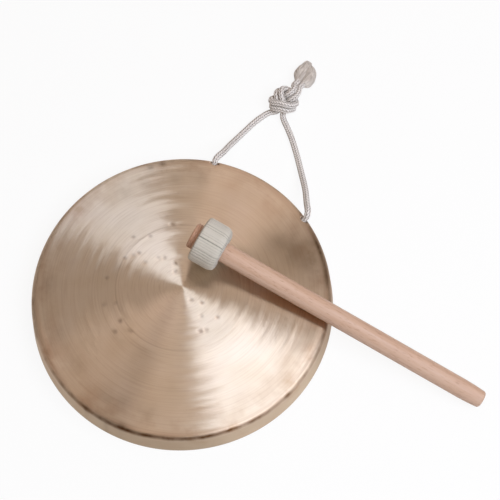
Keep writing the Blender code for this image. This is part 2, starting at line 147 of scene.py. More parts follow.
# Cord: its radius, the less that the knot squeezes it to, and its braid
CORD_RADIUS = 0.0024
KNOT_CORD_RADIUS = 0.0021
KNOT_PRESSED_RADIUS = 0.00233
KNOT_GAP = 0.0005
KNOT_EASE = 0.0055
HOLE_PRESSED_RADIUS = 0.0021
HOLE_EASE = 0.005
ROUTE_STEP = 0.003
SMOOTHING_STEP = 0.0004
SMOOTHING_PLACES = 60
# The real braid has more and smaller stitches, so these are drawn coarser to show at all
BRAID_CARRIERS = 6
BRAID_PITCH = 0.0122
BRAID_RELIEF = 0.00042
BRAID_LIFT = 0.55
BRAID_FULLNESS = 0.7
BRAID_SEAM = 0.5
BRAID_SEAM_WIDTH = 0.45
BRAID_AT_CUT = 0.3
CORD_SIDES = 48
RING_STEP = 0.00025


def mm(*rows):
    """Rows of values written in millimetres, as metres."""
    return np.array(rows, float) * 0.001


# Knot: the middle line of the two strands, from the knot's middle out to where they turn up
# or down to leave it. The lower half is the same route turned half round about the knot's X.
KNOT_HALF = mm(
    (6.8, 0, 0), (5.6, -4.8, 4.4), (0.2, -7.4, 4.6), (-5.4, -8.9, 1.7), (-9.0, -4.8, -2.8),
    (-7.0, 0.1, -5.1), (-2.3, 3.0, -0.8), (1.2, 6.4, 4.2), (1.5, 9.4, 4.0),
)
KNOT_X = -0.0290
KNOT_Y = 0.1762
KNOT_HALF_THICKNESS = 0.0093
KNOT_TURN = math.radians(-6)
LOWER_PARTING = 0.0056
UPPER_PARTING = 0.0012

# Necks and legs of the cord, with heights above the table
LEFT_NECK = mm((-24.9, 187.8, 12.4))
RIGHT_NECK = mm((-29.2, 188.4, 13.9))
LEFT_LEG = mm(
    (-32.0, 168.7, 3.7), (-35.5, 165.6, 2.6), (-38.2, 160.4, 2.5), (-40.4, 153.2, 2.5), (-42.4, 142.0, 2.6),
    (-43.2, 130.0, 5.4), (-42.6, 118.5, 12.0), (-41.0, 108.3, 20.0),
)
RIGHT_LEG = mm(
    (-26.1, 168.5, 5.2), (-23.5, 165.6, 3.7), (-19.6, 163.1, 2.9), (-9.8, 156.3, 2.5), (6.2, 142.4, 2.6),
    (16.2, 132.4, 5.8), (26.6, 121.0, 12.4), (36.2, 108.4, 20.8), (40.4, 102.4, 23.6),
)
LEG_FROM_HOLE = 0.0016
LEG_IN_HOLE = 0.0018

# Inside run between the holes, with heights above the table
INNER_RUN = mm((-35.5, 94.0, 15.2), (-22, 92.8, 13.0), (0, 92.0, 12.4), (22, 92.8, 13.0), (35.5, 94.0, 15.2))
INNER_FROM_HOLE = 0.0045

# Frayed ends, as sections across them: the distance ahead of the cord's end, where the seam
# between the two is, how far out the section reaches, its half thickness and how far its
# middle lies below the cord's end
END_X = -0.0296
END_Y = 0.1972
END_HEIGHT = 0.0084
END_SPACING = 0.0048
END_SLOPE = math.radians(20)
LEFT_TUFT = mm(
    (2.0, 0.1, -6.4, 2.8, 0.7), (4.5, 0.0, -8.6, 3.8, 1.6), (8, -0.6, -9.9, 4.8, 2.6),
    (12, -2.0, -9.9, 4.8, 3.2), (16, -3.8, -9.0, 4.0, 3.6), (19.4, -5.4, -8.6, 2.6, 3.8),
    (21.4, -6.4, -8.2, 1.2, 4.0),
)
RIGHT_TUFT = mm(
    (2.0, 0.1, 7.4, 3.4, 0.7), (4.5, 0.0, 8.0, 4.4, 1.6), (8, -0.6, 7.8, 5.0, 2.6), (12, -2.0, 6.8, 4.8, 3.2),
    (16, -3.8, 4.6, 3.8, 3.6), (18.6, -4.9, 1.8, 2.4, 3.8), (20.0, -5.5, -2.0, 1.2, 3.9),
)
TUFT_STEP = 0.0004
TUFT_SIDES = 72
# Past its foot each tuft reaches over the seam into the other, so that they look like one
TUFT_SEAM_OVERLAP = 0.0034
TUFT_SEAM_FROM = 0.003
TUFT_SEAM_EASE = 0.009

# Loose filaments on the frayed ends: places along each, how far it may start from its even
# place, how far it swings round, where it ends as a share of the tuft, and its lift off it
FILAMENTS = 190
FILAMENT_STOPS = 14
FILAMENT_SIDES = 4
FILAMENT_RADIUS = 0.00011
FILAMENT_WANDER = 0.0007
FILAMENT_JITTER = 0.4
FILAMENT_SWING = 1.6
FILAMENT_ENDS = (0.86, 1.0)
FILAMENT_LIFT = (-0.00005, 0.00012)
FILAMENT_THINS_FROM = 0.7
FILAMENT_TIP = 0.35
GUIDE_SEED = 7
BEND_SEED = 3

# Small dents left by the hammer on and round the flat disc, as (x, y) on the face
HAMMER_DENTS = mm(
    (-53.1, 13.8), (-43.3, 21.3), (-48.2, -3.0), (-36.2, 37.5), (-49.6, -22.6), (-39.1, -39.4),
    (-33.0, -34.5), (-21.6, -43.0), (-19.7, -51.5), (-11.1, -45.3), (-41.9, 6.1), (-44.5, 2.4),
    (-28.3, 10.8), (-24.7, 13.2), (-34.1, 2.9), (23.0, -7.5), (33.1, -1.5), (29.0, -17.0), (32.0, -14.0),
    (-12.2, 9.5), (-15.9, 13.9), (10.1, -1.7), (17.8, 1.0),
)
DENT_RADIUS = 0.0025
DENT_DEPTH = 0.00016
DENT_RAGGEDNESS = 0.0016

# Scraping on the lathe: the gong sat a little off centre, so its rings do too
SCRAPE_CENTRE = (-0.0008, 0.0031, 0.0)
STROKE_LEAN = 0.13
SCRAPE_DEPTH = 0.00004
TURNED_LINE_RADIUS = 0.0481
TURNED_LINE_EDGES = (0.0002, 0.0008)
TURNED_STEP_HALF = 0.0006
TURNED_STEP_DEPTH = 0.00007

# Heat tints between these radii, and a browner band at the face's very edge
TINT_RADII = (0.080, 0.1065)
EDGE_BAND_RADII = (0.1000, 0.1062)

# The crease between face and rim, and the side of the gong where it holds the darkest stain
CREASE_RADIUS = 0.1080
CREASE_WANDER = 0.0022
CREASE_WIDTH = 0.0019
STAINED_SIDE = (math.cos(math.radians(-52)), math.sin(math.radians(-52)), 0.0)

# Heights between which the scraped face gives way to the duller rim, and the rim to the lip, which a painted
# contact shadow darkens where it meets the floor
RIM_HEIGHTS = (-0.0095, -0.0085)
LIP_SHADOW_HEIGHTS = (-0.0262, -0.0254)

# Smudges that the annealing left on the face, as (x, y, how far it spreads), and how dark each group is
FAINT_SMUDGES = mm(
    (-79.9, 39.7, 7), (-72.8, 54.4, 5), (-80.6, -47.3, 7), (-28.9, -86.3, 8), (2.7, -91.6, 5),
    (14.2, -87.9, 5), (34.0, -84.5, 8), (-51.5, -75.1, 7), (-77.3, 66.9, 5), (-56.0, 70.6, 5),
    (-40.7, 81.2, 6),
)
PATCH_SMUDGES = mm((49, 73, 15), (63, 74, 14), (38, 71, 11), (56, 86, 9))
BURNT_SMUDGES = mm(
    (12.8, -107.5, 2), (23.6, -103.3, 3), (-3.9, -107.5, 2.2), (-72.0, 75.2, 2.2), (-77.3, 67.5, 2.2),
)
SMUDGES = ((FAINT_SMUDGES, 0.17), (PATCH_SMUDGES, 0.38), (BURNT_SMUDGES, 0.6))
# A dark streak painted along the shoulder: its radius, its first and last angle and how far it spreads
STREAK_RADIUS = 0.105
STREAK_ANGLES = (math.radians(36), math.radians(64))
STREAK_SPREAD = 0.0019
STREAK_SPOTS = 40
STREAK_DARKNESS = 0.9

# How many of a pattern's marks go to a metre, after the real size of one mark in millimetres
FILAMENT_BENDS = 260.0  # a bend each 4 mm
DENT_EDGE_NICKS = 420.0  # nicks of 2.4 mm round a dent
RIB_DRIFTS = 230.0  # ribs draw together or apart within 4 mm
RIB_FILLINGS = 410.0  # a groove of 2.4 mm that fluff fills or not
SCRAPE_RINGS = 900.0  # rings of 1.1 mm, coarser than the real ones, which are too fine to show
SCRAPE_STROKES = 300.0  # bands of 3.3 mm where the tool leaned one way
SKIN_CLOUDS = 24.0  # clouds of 42 mm in the colour of the bronze
HEAT_BLOTCHES = 62.0  # blotches of 16 mm
DENT_STAINS = 95.0  # a change of stain each 10 mm, so that dents differ
NYLON_FIBRES = 900.0  # bundles of 1.1 mm; a single fibre is too fine to show
BEECH_GRAIN = 420.0  # lines of 2.4 mm across the grain
BEECH_BANDS = 90.0  # year rings of 11 mm, cut along
BEECH_FLECKS = 1150.0  # flecks of 0.9 mm; the real ones are finer
COTTON_FUZZ = 1100.0  # tufts of 0.9 mm

# The same round the axis, where a mark's length goes by its angle: marks to a radian
SCRAPE_RING_BREAKS = 2.2
SCRAPE_STROKE_BREAKS = 1.8
CREASE_WAVES = 7.0
CREASE_PATCHES = 11.0

# How deep the fine bumps of the loose fibre, the beech and the cotton are
FIBRE_RELIEF = 0.0002

# How far the wear of the struck tip fades out beside the tape
WEAR_FADE = 0.001


# Helpers


def colour(hex_value):
    """An sRGB hex value as linear RGBA."""
    channels = [int(hex_value[i : i + 2], 16) / 255 for i in (1, 3, 5)]
    linear = [c / 12.92 if c <= 0.04045 else ((c + 0.055) / 1.055) ** 2.4 for c in channels]
    return (*linear, 1)


def feed(node, inputs):
    """Gives each input, listed in order or keyed by place or name, a value or another node's first output."""
    pairs = enumerate(inputs) if isinstance(inputs, list) else inputs.items()
    for key, value in pairs:
        if isinstance(key, int):
            socket = node.inputs[key]
        else:
            socket = next(s for s in node.inputs if s.enabled and s.name == key)
        if isinstance(value, bpy.types.Node):
            value = next(s for s in value.outputs if s.enabled)
        if isinstance(value, bpy.types.NodeSocket):
            node.id_data.links.new(value, socket)
        else:
            socket.default_value = value


def add_node(tree, kind, inputs=(), stops=(), **settings):
    """One node with its settings and inputs, and a colour ramp's (place, hex colour) stops.

    The kind is the node type's name without the ShaderNode or GeometryNode that it starts with.
    Each tree has its own node function, which is this one with the tree filled in.
    """
    starts = ("GeometryNode", "ShaderNode", "") if tree.type == "GEOMETRY" else ("ShaderNode",)
    made = tree.nodes.new(next(start + kind for start in starts if hasattr(bpy.types, start + kind)))
    for name, value in settings.items():
        setattr(made, name, value)
    for number, (place, hex_value) in enumerate(stops):
        elements = made.color_ramp.elements
        element = elements[number] if number < 2 else elements.new(place)
        element.position = place
        element.color = colour(hex_value)
    feed(made, inputs or {})
    return made


def paint(node, base, *layers):
    """Lays each (share, colour) layer over the last one; a colour is a hex value or a node."""
    for share, over in layers:
        shade = colour(over) if isinstance(over, str) else over
        base = node("Mix", {"Factor": share, "A": base, "B": shade}, data_type="RGBA")
    return base


def new_material(name):
    """A material, the function that adds its nodes, and its shader."""
    made = bpy.data.materials.new(name)
    made.use_nodes = True
    return made, partial(add_node, made.node_tree), made.node_tree.nodes["Principled BSDF"]


def add_object(name, data, stuff=None):
    """An object of this data in the scene, in one material if it is a surface."""
    made = bpy.data.objects.new(name, data)
    if stuff:
        data.materials.clear()
        data.materials.append(stuff)
    bpy.context.scene.collection.objects.link(made)
    return made


def mesh_of(name, points, faces, stuff, rounded=True):
    """A surface of these faces, shaded round or flat."""
    mesh = bpy.data.meshes.new(name)
    mesh.from_pydata([tuple(p) for p in points], [], [tuple(int(i) for i in f) for f in faces])
    mesh.update()
    mesh.polygons.foreach_set("use_smooth", [rounded] * len(mesh.polygons))
    return add_object(name, mesh, stuff)


def wire_of(name, points, edges=None):
    """Points joined by these edges, or one after another."""
    mesh = bpy.data.meshes.new(name)
    in_a_row = [(i, i + 1) for i in range(len(points) - 1)]
    mesh.from_pydata([tuple(p) for p in points], in_a_row if edges is None else edges, [])
    return add_object(name, mesh)


def vertex_points(mesh):
    """The mesh's vertices as rows of x, y and z."""
    points = np.empty(len(mesh.vertices) * 3)
    mesh.vertices.foreach_get("co", points)
    return points.reshape(-1, 3)


def face_outwards(mesh):
    """Turns the mesh's faces round if they point inwards."""
    mesh.calc_loop_triangles()
    corners = np.empty(len(mesh.loop_triangles) * 3, np.int32)
    mesh.loop_triangles.foreach_get("vertices", corners)
    triangles = vertex_points(mesh)[corners.reshape(-1, 3)]
    if np.linalg.det(triangles).sum() < 0:
        mesh.flip_normals()


def round_angles(count):
    """This many even angles round a circle."""
    return np.linspace(0, 2 * math.pi, count, endpoint=False)


def loft_faces(rings, sides):
    """Quads between rings of points, each ring following the last one."""
    first = np.arange(rings - 1)[:, None] * sides
    place = np.arange(sides)[None]
    after = (place + 1) % sides
    quads = np.stack([first + place, first + after, first + sides + after, first + sides + place], axis=2)
    return quads.reshape(-1, 4)


def lofted(name, rings, stuff):
    """A closed smooth solid through rings of points, with a fan of faces at each end."""
    count, sides = rings.shape[:2]
    points = np.vstack([rings.reshape(-1, 3), rings[0].mean(axis=0), rings[-1].mean(axis=0)])
    faces = [list(quad) for quad in loft_faces(count, sides)]
    start, end, last = count * sides, count * sides + 1, (count - 1) * sides
    for i in range(sides):
        j = (i + 1) % sides
        faces.append([start, j, i])
        faces.append([end, last + i, last + j])
    made = mesh_of(name, points, faces, stuff)
    face_outwards(made.data)
    return made


def point_attribute(mesh, name, values):
    """Keeps one value for each vertex, for the materials to read."""
    layer = mesh.attributes.new(name, "FLOAT", "POINT")
    layer.data.foreach_set("value", np.asarray(values, np.float32).ravel())


def geometry_tree(name, sizes):
    """A new Geometry Nodes tree: its node function, its inputs, with one for each size, and its output."""
    tree = bpy.data.node_groups.new(name, "GeometryNodeTree")
    node = partial(add_node, tree)
    tree.interface.new_socket("Geometry", in_out="INPUT", socket_type="NodeSocketGeometry")
    tree.interface.new_socket("Geometry", in_out="OUTPUT", socket_type="NodeSocketGeometry")
    for label, value in sizes.items():
        kind = {int: "Int", float: "Float"}.get(type(value), "Object")
        tree.interface.new_socket(label, in_out="INPUT", socket_type=f"NodeSocket{kind}")
    return node, node("NodeGroupInput").outputs, node("NodeGroupOutput")


def end_tree(node, shape, stuff, result):
    """Ends a Geometry Nodes tree with real faces in their material, and gives the whole tree back."""
    whole = node("RealizeInstances", [shape])
    painted = node("SetMaterial", {"Geometry": whole, "Material": stuff})
    feed(result, {"Geometry": painted})
    return result.id_data


def plain_mesh(thing):
    """A mesh of its own of what the object's modifiers make."""
    graph = bpy.context.evaluated_depsgraph_get()
    return bpy.data.meshes.new_from_object(thing.evaluated_get(graph))


def grown(name, base, build_tree, sizes, stuff):
    """The plain mesh that a Geometry Nodes tree makes of the base, as an object of its own."""
    tree = build_tree(sizes, stuff)
    modifier = base.modifiers.new(tree.name, "NODES")
    modifier.node_group = tree
    for item in tree.interface.items_tree:
        if item.in_out == "INPUT" and item.name in sizes:
            modifier[item.identifier] = sizes[item.name]
    mesh = plain_mesh(base)
    mesh.name = name
    bpy.data.objects.remove(base)
    face_outwards(mesh)
    return add_object(name, mesh, stuff)


# Camera, lights and floor


def make_camera():
    """The camera as it stood for the photograph."""
    camera = add_object("camera", bpy.data.cameras.new("camera"))
    camera.data.sensor_width = CAMERA_SENSOR
    camera.data.lens = CAMERA_LENS
    camera.data.clip_start = CAMERA_NEAR
    camera.data.clip_end = CAMERA_FAR
    turn = Matrix((CAMERA_RIGHT, CAMERA_UP, CAMERA_BACK)).transposed().to_4x4()
    camera.matrix_world = Matrix.Translation(CAMERA_PLACE) @ turn
    bpy.context.scene.camera = camera


def softbox(name, azimuth, elevation, turn, width, height, brightness, hex_value):
    """A rectangular lamp that faces the gong; brightness 1 is as bright as a white paper beside it."""
    lamp = bpy.data.lights.new(name, "AREA")
    lamp.shape = "RECTANGLE"
    lamp.size = width
    lamp.size_y = height
    lamp.energy = brightness * math.pi * width * height
    lamp.color = colour(hex_value)[:3]
    made = add_object(name, lamp)
    across, up = math.radians(azimuth), math.radians(elevation)
    away = Vector((math.cos(across) * math.cos(up), math.sin(across) * math.cos(up), math.sin(up)))
    made.location = away * LAMP_DISTANCE
    facing = away.to_track_quat("Z", "Y").to_matrix()
    made.rotation_euler = (facing @ Matrix.Rotation(math.radians(turn), 3, "Z")).to_euler()


def make_lights():
    """The softboxes, shown through the plain view transform."""
    for name, sizes in LAMPS.items():
        softbox(name, *sizes)
    bpy.context.scene.view_settings.view_transform = "Standard"


def seen_directly(node):
    """1 for the rays that show a surface to the eye, directly or by way of metal or glass."""
    rays = node("LightPath").outputs
    seen = node("Math", [rays["Is Camera Ray"], rays["Is Glossy Ray"]], operation="MAXIMUM")
    return node("Math", [seen, rays["Is Transmission Ray"]], operation="MAXIMUM")


def make_room():
    """A dim warm room, with a white backdrop that reaches from the floor to a little above eye level."""
    world = bpy.data.worlds.new("studio")
    world.use_nodes = True
    node, ends = partial(add_node, world.node_tree), world.node_tree.nodes
    room = ends["Background"]
    feed(room, {"Color": colour(ROOM_COLOUR), "Strength": ROOM_STRENGTH})
    backdrop = node("Background", {"Color": (1, 1, 1, 1), "Strength": 1.0})
    direction = node("TexCoord").outputs["Generated"]
    rise = node("SeparateXYZ", [direction]).outputs["Z"]
    low = node("MapRange", [rise, *BACKDROP_FADE, 1.0, 0.0])
    share = node("Math", [low, seen_directly(node)], operation="MULTIPLY")
    mixed = node("MixShader", [share, room, backdrop])
    feed(ends["World Output"], {"Surface": mixed})
    bpy.context.scene.world = world


def white_paper():
    """A white paper sweep: it looks white to the eye and in the metal, and takes a faint shadow."""
    paper, node, shader = new_material("matt_white_paper")
    feed(shader, {"Base Color": colour("#F4F3F1"), "Roughness": 0.95})
    share = node("Math", [seen_directly(node), FLOOR_WHITENESS], operation="MULTIPLY")
    white = node("Emission", {"Color": (1, 1, 1, 1), "Strength": 1.0})
    mixed = node("MixShader", [share, shader, white])
    feed(paper.node_tree.nodes["Material Output"], {"Surface": mixed})
    return paper


def make_floor(paper):
    """A flat floor just below the gong's lip."""
    height = -GONG_HEIGHT - FLOOR_CLEARANCE
    corners = [(x * FLOOR_REACH, y * FLOOR_REACH, height) for x, y in ((-1, -1), (1, -1), (1, 1), (-1, 1))]
    floor = mesh_of("floor", corners, [(0, 1, 2, 3)], paper, rounded=False)


# Shapes that the model's source has too: the gong's profile and the cord's route


def shoulder():
    """The shoulder's centre as (radius, height), and the face's slope, which is tangent to it."""
    centre_radius = SHOULDER_RADIUS - SHOULDER_ROUND
    run = centre_radius - DISC_RADIUS
    slope = math.atan2(FACE_DROP, run)
    centre_height = -(SHOULDER_ROUND + run * math.sin(slope)) / math.cos(slope)
    return centre_radius, centre_height, slope


def hole_point(side, distance):
    """A point on a cord hole's axis, measured outwards from the middle of the wall."""
    centre_radius, centre_height, _ = shoulder()
    reach = SHOULDER_ROUND - GONG_WALL / 2 + distance
    radius = centre_radius + reach * math.sin(HOLE_TILT)
    height = centre_height + reach * math.cos(HOLE_TILT)
    return np.array([side * radius * math.sin(HOLE_SPREAD), radius * math.cos(HOLE_SPREAD), height])


def path_lengths(points):
    """The distance along a path at each of its points."""
    steps = np.linalg.norm(np.diff(points[:, :3], axis=0), axis=1)
    return np.concatenate([[0], np.cumsum(steps)])


def directions(points):
    """The path's direction at each of its points."""
    tangents = np.gradient(points, axis=0)
    return tangents / np.linalg.norm(tangents, axis=1)[:, None]


def curve_points(knots, points, slopes, places):
    """Points at these places on the cubic curve that has the given points and slopes at its knots."""
    i = np.clip(np.searchsorted(knots, places) - 1, 0, len(knots) - 2)
    span = (knots[i + 1] - knots[i])[:, None]
    u = (places - knots[i])[:, None] / span
    start = (2 * u**3 - 3 * u**2 + 1) * points[i] + (u**3 - 2 * u**2 + u) * span * slopes[i]
    return start + (3 * u**2 - 2 * u**3) * points[i + 1] + (u**3 - u**2) * span * slopes[i + 1]


def smooth_path(points, step):
    """Points at about equal steps along the cubic spline through these ones."""
    points = np.asarray(points, float)
    last = len(points) - 1
    knots = path_lengths(points)
    spans = np.diff(knots)
    matrix = np.zeros((last + 1, last + 1))
    right = np.zeros_like(points)
    matrix[0, :2] = 2, 1
    right[0] = 3 * (points[1] - points[0]) / spans[0]
    matrix[last, last - 1 :] = 1, 2
    right[last] = 3 * (points[last] - points[last - 1]) / spans[-1]
    for i in range(1, last):
        before, after = spans[i - 1], spans[i]
        matrix[i, i - 1 : i + 2] = after, 2 * (before + after), before
        from_before = after * (points[i] - points[i - 1]) / before
        to_after = before * (points[i + 1] - points[i]) / after
        right[i] = 3 * (from_before + to_after)
    slopes = np.linalg.solve(matrix, right)
    places = np.linspace(0, knots[-1], SMOOTHING_PLACES * last)
    lengths = path_lengths(curve_points(knots, points, slopes, places))
    count = max(2, round(lengths[-1] / step) + 1)
    even = np.interp(np.linspace(0, lengths[-1], count), lengths, places)
    return curve_points(knots, points, slopes, even)


def least_twist(tangents, middle):
    """A direction square to the path at each point: nearly upright in its middle, and never twisting."""
    across = np.zeros_like(tangents)
    start = np.array([0, 0, 1]) - tangents[middle, 2] * tangents[middle]
    across[middle] = start / np.linalg.norm(start)
    upwards = [(i, i - 1) for i in range(middle + 1, len(tangents))]
    downwards = [(i, i + 1) for i in range(middle - 1, -1, -1)]
    for i, neighbour in upwards + downwards:
        kept = across[neighbour] - (across[neighbour] @ tangents[i]) * tangents[i]
        across[i] = kept / np.linalg.norm(kept)
    return across


def knot_strands():
    """The two strands of the doubled overhand knot, each from its leg's side to its frayed end's side."""
    lower = KNOT_HALF[::-1] * np.array([1, -1, -1])
    centre = smooth_path(np.concatenate([lower, KNOT_HALF[1:]]), SMOOTHING_STEP)
    across = least_twist(directions(centre), len(centre) // 2)
    offset = across * (KNOT_CORD_RADIUS + KNOT_GAP / 2)
    turn = np.array(Matrix.Rotation(KNOT_TURN, 3, "Z"))
    middle = np.array([KNOT_X, KNOT_Y, KNOT_HALF_THICKNESS - GONG_HEIGHT])
    return (centre - offset) @ turn.T + middle, (centre + offset) @ turn.T + middle


def on_table(points):
    """Route points whose heights are given above the table, in the object's frame."""
    return np.asarray(points) - np.array([0, 0, GONG_HEIGHT])


def cord_end(side, back=0):
    """Where the cord frays, on one side of the seam, or a point this far back along its straight end."""
    y, height = END_Y - back * math.cos(END_SLOPE), END_HEIGHT + back * math.sin(END_SLOPE)
    return on_table((END_X + side * END_SPACING / 2, y, height))


def cord_route():
    """The whole cord as one smooth path, and where along it the knot ends and the two holes are."""
    distances = (LOWER_PARTING, UPPER_PARTING, ROUTE_STEP)
    lower, upper, spacing = (round(distance / SMOOTHING_STEP) for distance in distances)
    left_strand, right_strand = (strand[lower:-upper:spacing] for strand in knot_strands())
    left_leg, right_leg, inner_run = on_table(LEFT_LEG), on_table(RIGHT_LEG), on_table(INNER_RUN)
    left, right = -1, 1
    straight = np.array([0, CORD_RADIUS, 2 * CORD_RADIUS])
    right_end, left_end = ([cord_end(side, back) for back in straight] for side in (right, left))
    stretches = [
        [*right_end, *on_table(LEFT_NECK), *left_strand[::-1], *left_leg[:3]],
        [*left_leg[3:], hole_point(left, LEG_FROM_HOLE), hole_point(left, -LEG_IN_HOLE)],
        [hole_point(left, -INNER_FROM_HOLE), *inner_run, hole_point(right, -INNER_FROM_HOLE)],
        [hole_point(right, -LEG_IN_HOLE), hole_point(right, LEG_FROM_HOLE), *right_leg[:2:-1]],
        [*right_leg[2::-1], *right_strand, *on_table(RIGHT_NECK), *left_end[::-1]],
    ]
    path = smooth_path([point for stretch in stretches for point in stretch], RING_STEP)
    meetings = (stretches[0][-1], hole_point(left, 0), hole_point(right, 0), stretches[4][0])
    return path, [int(np.argmin(np.linalg.norm(path - point, axis=1))) for point in meetings]


# Cord


def braid(around, along):
    """The braid's height, 0 to 1: strands wind both ways, each over two and under two.

    The over and under make columns of V-shaped stitches along the cord, with a low gap where
    four stitches meet, which the cord's material paints dark as shade.
    """
    turns = BRAID_CARRIERS * along / BRAID_PITCH
    first, second = BRAID_CARRIERS * around + turns, BRAID_CARRIERS * around - turns
    over = BRAID_LIFT * np.sin(math.pi / 2 * (first + second) + math.pi / 4)
    ridge_one = np.abs(np.sin(math.pi * first)) ** BRAID_FULLNESS + over
    ridge_two = np.abs(np.sin(math.pi * second)) ** BRAID_FULLNESS - over
    level = np.clip(1 - np.abs(over) / (BRAID_SEAM_WIDTH * BRAID_LIFT), 0, 1)
    between = level * (0.5 + 0.5 * np.cos(2 * math.pi * turns))
    return np.clip(np.maximum(ridge_one, ridge_two) / (1 + BRAID_LIFT) - BRAID_SEAM * between, 0, 1)


def eased(share):
    """The share kept within 0 and 1, and eased in and out."""
    share = np.clip(share, 0, 1)
    return share**2 * (3 - 2 * share)


def cord_radii(lengths, cuts):
    """The cord's radius along its path: less where the knot or a hole presses it."""
    first, last = lengths[[cuts[0], cuts[3]]]
    inside = np.where(lengths < first, np.minimum(lengths, first - lengths), 0)
    inside = np.where(lengths > last, np.minimum(lengths - last, lengths[-1] - lengths), inside)
    radii = CORD_RADIUS + (KNOT_PRESSED_RADIUS - CORD_RADIUS) * eased(inside / KNOT_EASE)
    for hole in lengths[[cuts[1], cuts[2]]]:
        radii += (HOLE_PRESSED_RADIUS - CORD_RADIUS) * eased(1 - np.abs(lengths - hole) / HOLE_EASE)
    return radii


def braided_tube(name, centres, across, radii, lengths, stuff):
    """A tube round these centres whose surface is the braid itself."""
    third = np.cross(directions(centres), across)
    around = np.arange(CORD_SIDES) / CORD_SIDES
    angles = 2 * math.pi * around
    height = braid(around[None], lengths[:, None])
    reach = radii[:, None] - BRAID_RELIEF * (1 - height)
    ring = np.cos(angles)[None, :, None] * across[:, None] + np.sin(angles)[None, :, None] * third[:, None]
    made = lofted(name, centres[:, None] + reach[:, :, None] * ring, stuff)
    point_attribute(made.data, "braid", np.concatenate([height.ravel(), [BRAID_AT_CUT, BRAID_AT_CUT]]))
    return made


def make_cords(stuff, fibre):
    """The cord in three stretches, which meet in the holes, and the frayed ends of the outer two."""
    path, cuts = cord_route()
    lengths = path_lengths(path)
    across = least_twist(directions(path), len(path) // 2)
    radii = cord_radii(lengths, cuts)
    _, left_hole, right_hole, _ = cuts
    stretches = {
        "braided_cord_left": (slice(left_hole, None, -1), -1, ("cord_left_leg", "cord_left_knot_strand")),
        "braided_cord_right": (slice(right_hole, None), 1, ("cord_right_leg", "cord_right_knot_strand")),
        "braided_cord_inside": (slice(left_hole, right_hole + 1), -1, ("cord_inner_run",)),
    }
    tufts = {
        "braided_cord_left": make_tuft("frayed_end_left", 1, RIGHT_TUFT, "cord_left_strand_end", fibre),
        "braided_cord_right": make_tuft("frayed_end_right", -1, LEFT_TUFT, "cord_right_strand_end", fibre),
        "braided_cord_inside": [],
    }
    for name, (part, side, nodes) in stretches.items():
        centres = path[part]
        cord = braided_tube(name, centres, across[part], radii[part], lengths[part], stuff)
        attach(cord, "gong")
        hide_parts(*nodes)


# Frayed ends


def smooth_sections(sections, step):
    """Sections at closer steps, each value on a monotone curve between the given ones."""
    ahead = sections[:, 0]
    places = np.linspace(ahead[0], ahead[-1], round((ahead[-1] - ahead[0]) / step) + 1)
    slopes = np.diff(sections, axis=0) / np.diff(ahead)[:, None]
    before, after = slopes[:-1], slopes[1:]
    same_way = after * before > 0
    middle = np.where(same_way, 2 * after * before / np.where(same_way, after + before, 1), 0)
    return curve_points(ahead, sections, np.vstack([slopes[:1], middle, slopes[-1:]]), places)


def tuft_rings(side, sections):
    """Rings of points down a frayed end, from the cord's round end to a soft point."""
    end = cord_end(side)
    near, far = END_SPACING / 2 - CORD_RADIUS, END_SPACING / 2 + CORD_RADIUS
    foot = np.array([0, side * near, side * far, CORD_RADIUS, 0])
    shaped = np.array(sections)
    past_foot = np.clip((shaped[:, 0] - TUFT_SEAM_FROM) / TUFT_SEAM_EASE, 0, 1)
    shaped[:, 1] -= side * TUFT_SEAM_OVERLAP * past_foot
    shaped = smooth_sections(np.vstack([foot, shaped]), TUFT_STEP)
    slopes = np.arctan(np.gradient(shaped[:, 4], shaped[:, 0]))
    slopes[0] = END_SLOPE
    angles = round_angles(TUFT_SIDES)
    rings = []
    for (ahead, seam, out, half, drop), slope in zip(shaped, slopes):
        x = END_X + (seam + out) / 2 + (out - seam) / 2 * np.cos(angles)
        y = end[1] + ahead + half * np.sin(angles) * math.sin(slope)
        z = end[2] - drop + half * np.sin(angles) * math.cos(slope)
        rings.append(np.column_stack([x, y, z]))
    return np.array(rings)


def filament_tree(sizes, stuff):
    """Fine fibres along guide lines: each wanders a little and thins out at its end."""
    node, given, result = geometry_tree("frayed_filaments", sizes)
    strands = node("MeshToCurve", {"Mesh": given["Geometry"]})
    place = node("SplineParameter").outputs["Factor"]
    bends = {"Vector": node("InputPosition"), "W": given["Seed"], "Scale": FILAMENT_BENDS, "Detail": 1.0}
    noise = node("TexNoise", bends, noise_dimensions="4D")
    centred = node("VectorMath", [noise.outputs["Color"], (0.5, 0.5, 0.5)], operation="SUBTRACT")
    amount = node("Math", [given["Wander"], place], operation="MULTIPLY")
    aside = node("VectorMath", {0: centred, "Scale": amount}, operation="SCALE")
    bent = node("SetPosition", {"Geometry": strands, "Offset": aside})
    taper = node("MapRange", [place, FILAMENT_THINS_FROM, 1.0, 1.0, FILAMENT_TIP])
    thick = node("Math", [given["Radius"], taper], operation="MULTIPLY")
    outline = node("CurvePrimitiveCircle", {"Resolution": FILAMENT_SIDES, "Radius": 1.0})
    tubes = node("CurveToMesh", {"Curve": bent, "Profile Curve": outline, "Scale": thick, "Fill Caps": True})
    return end_tree(node, tubes, stuff, result)


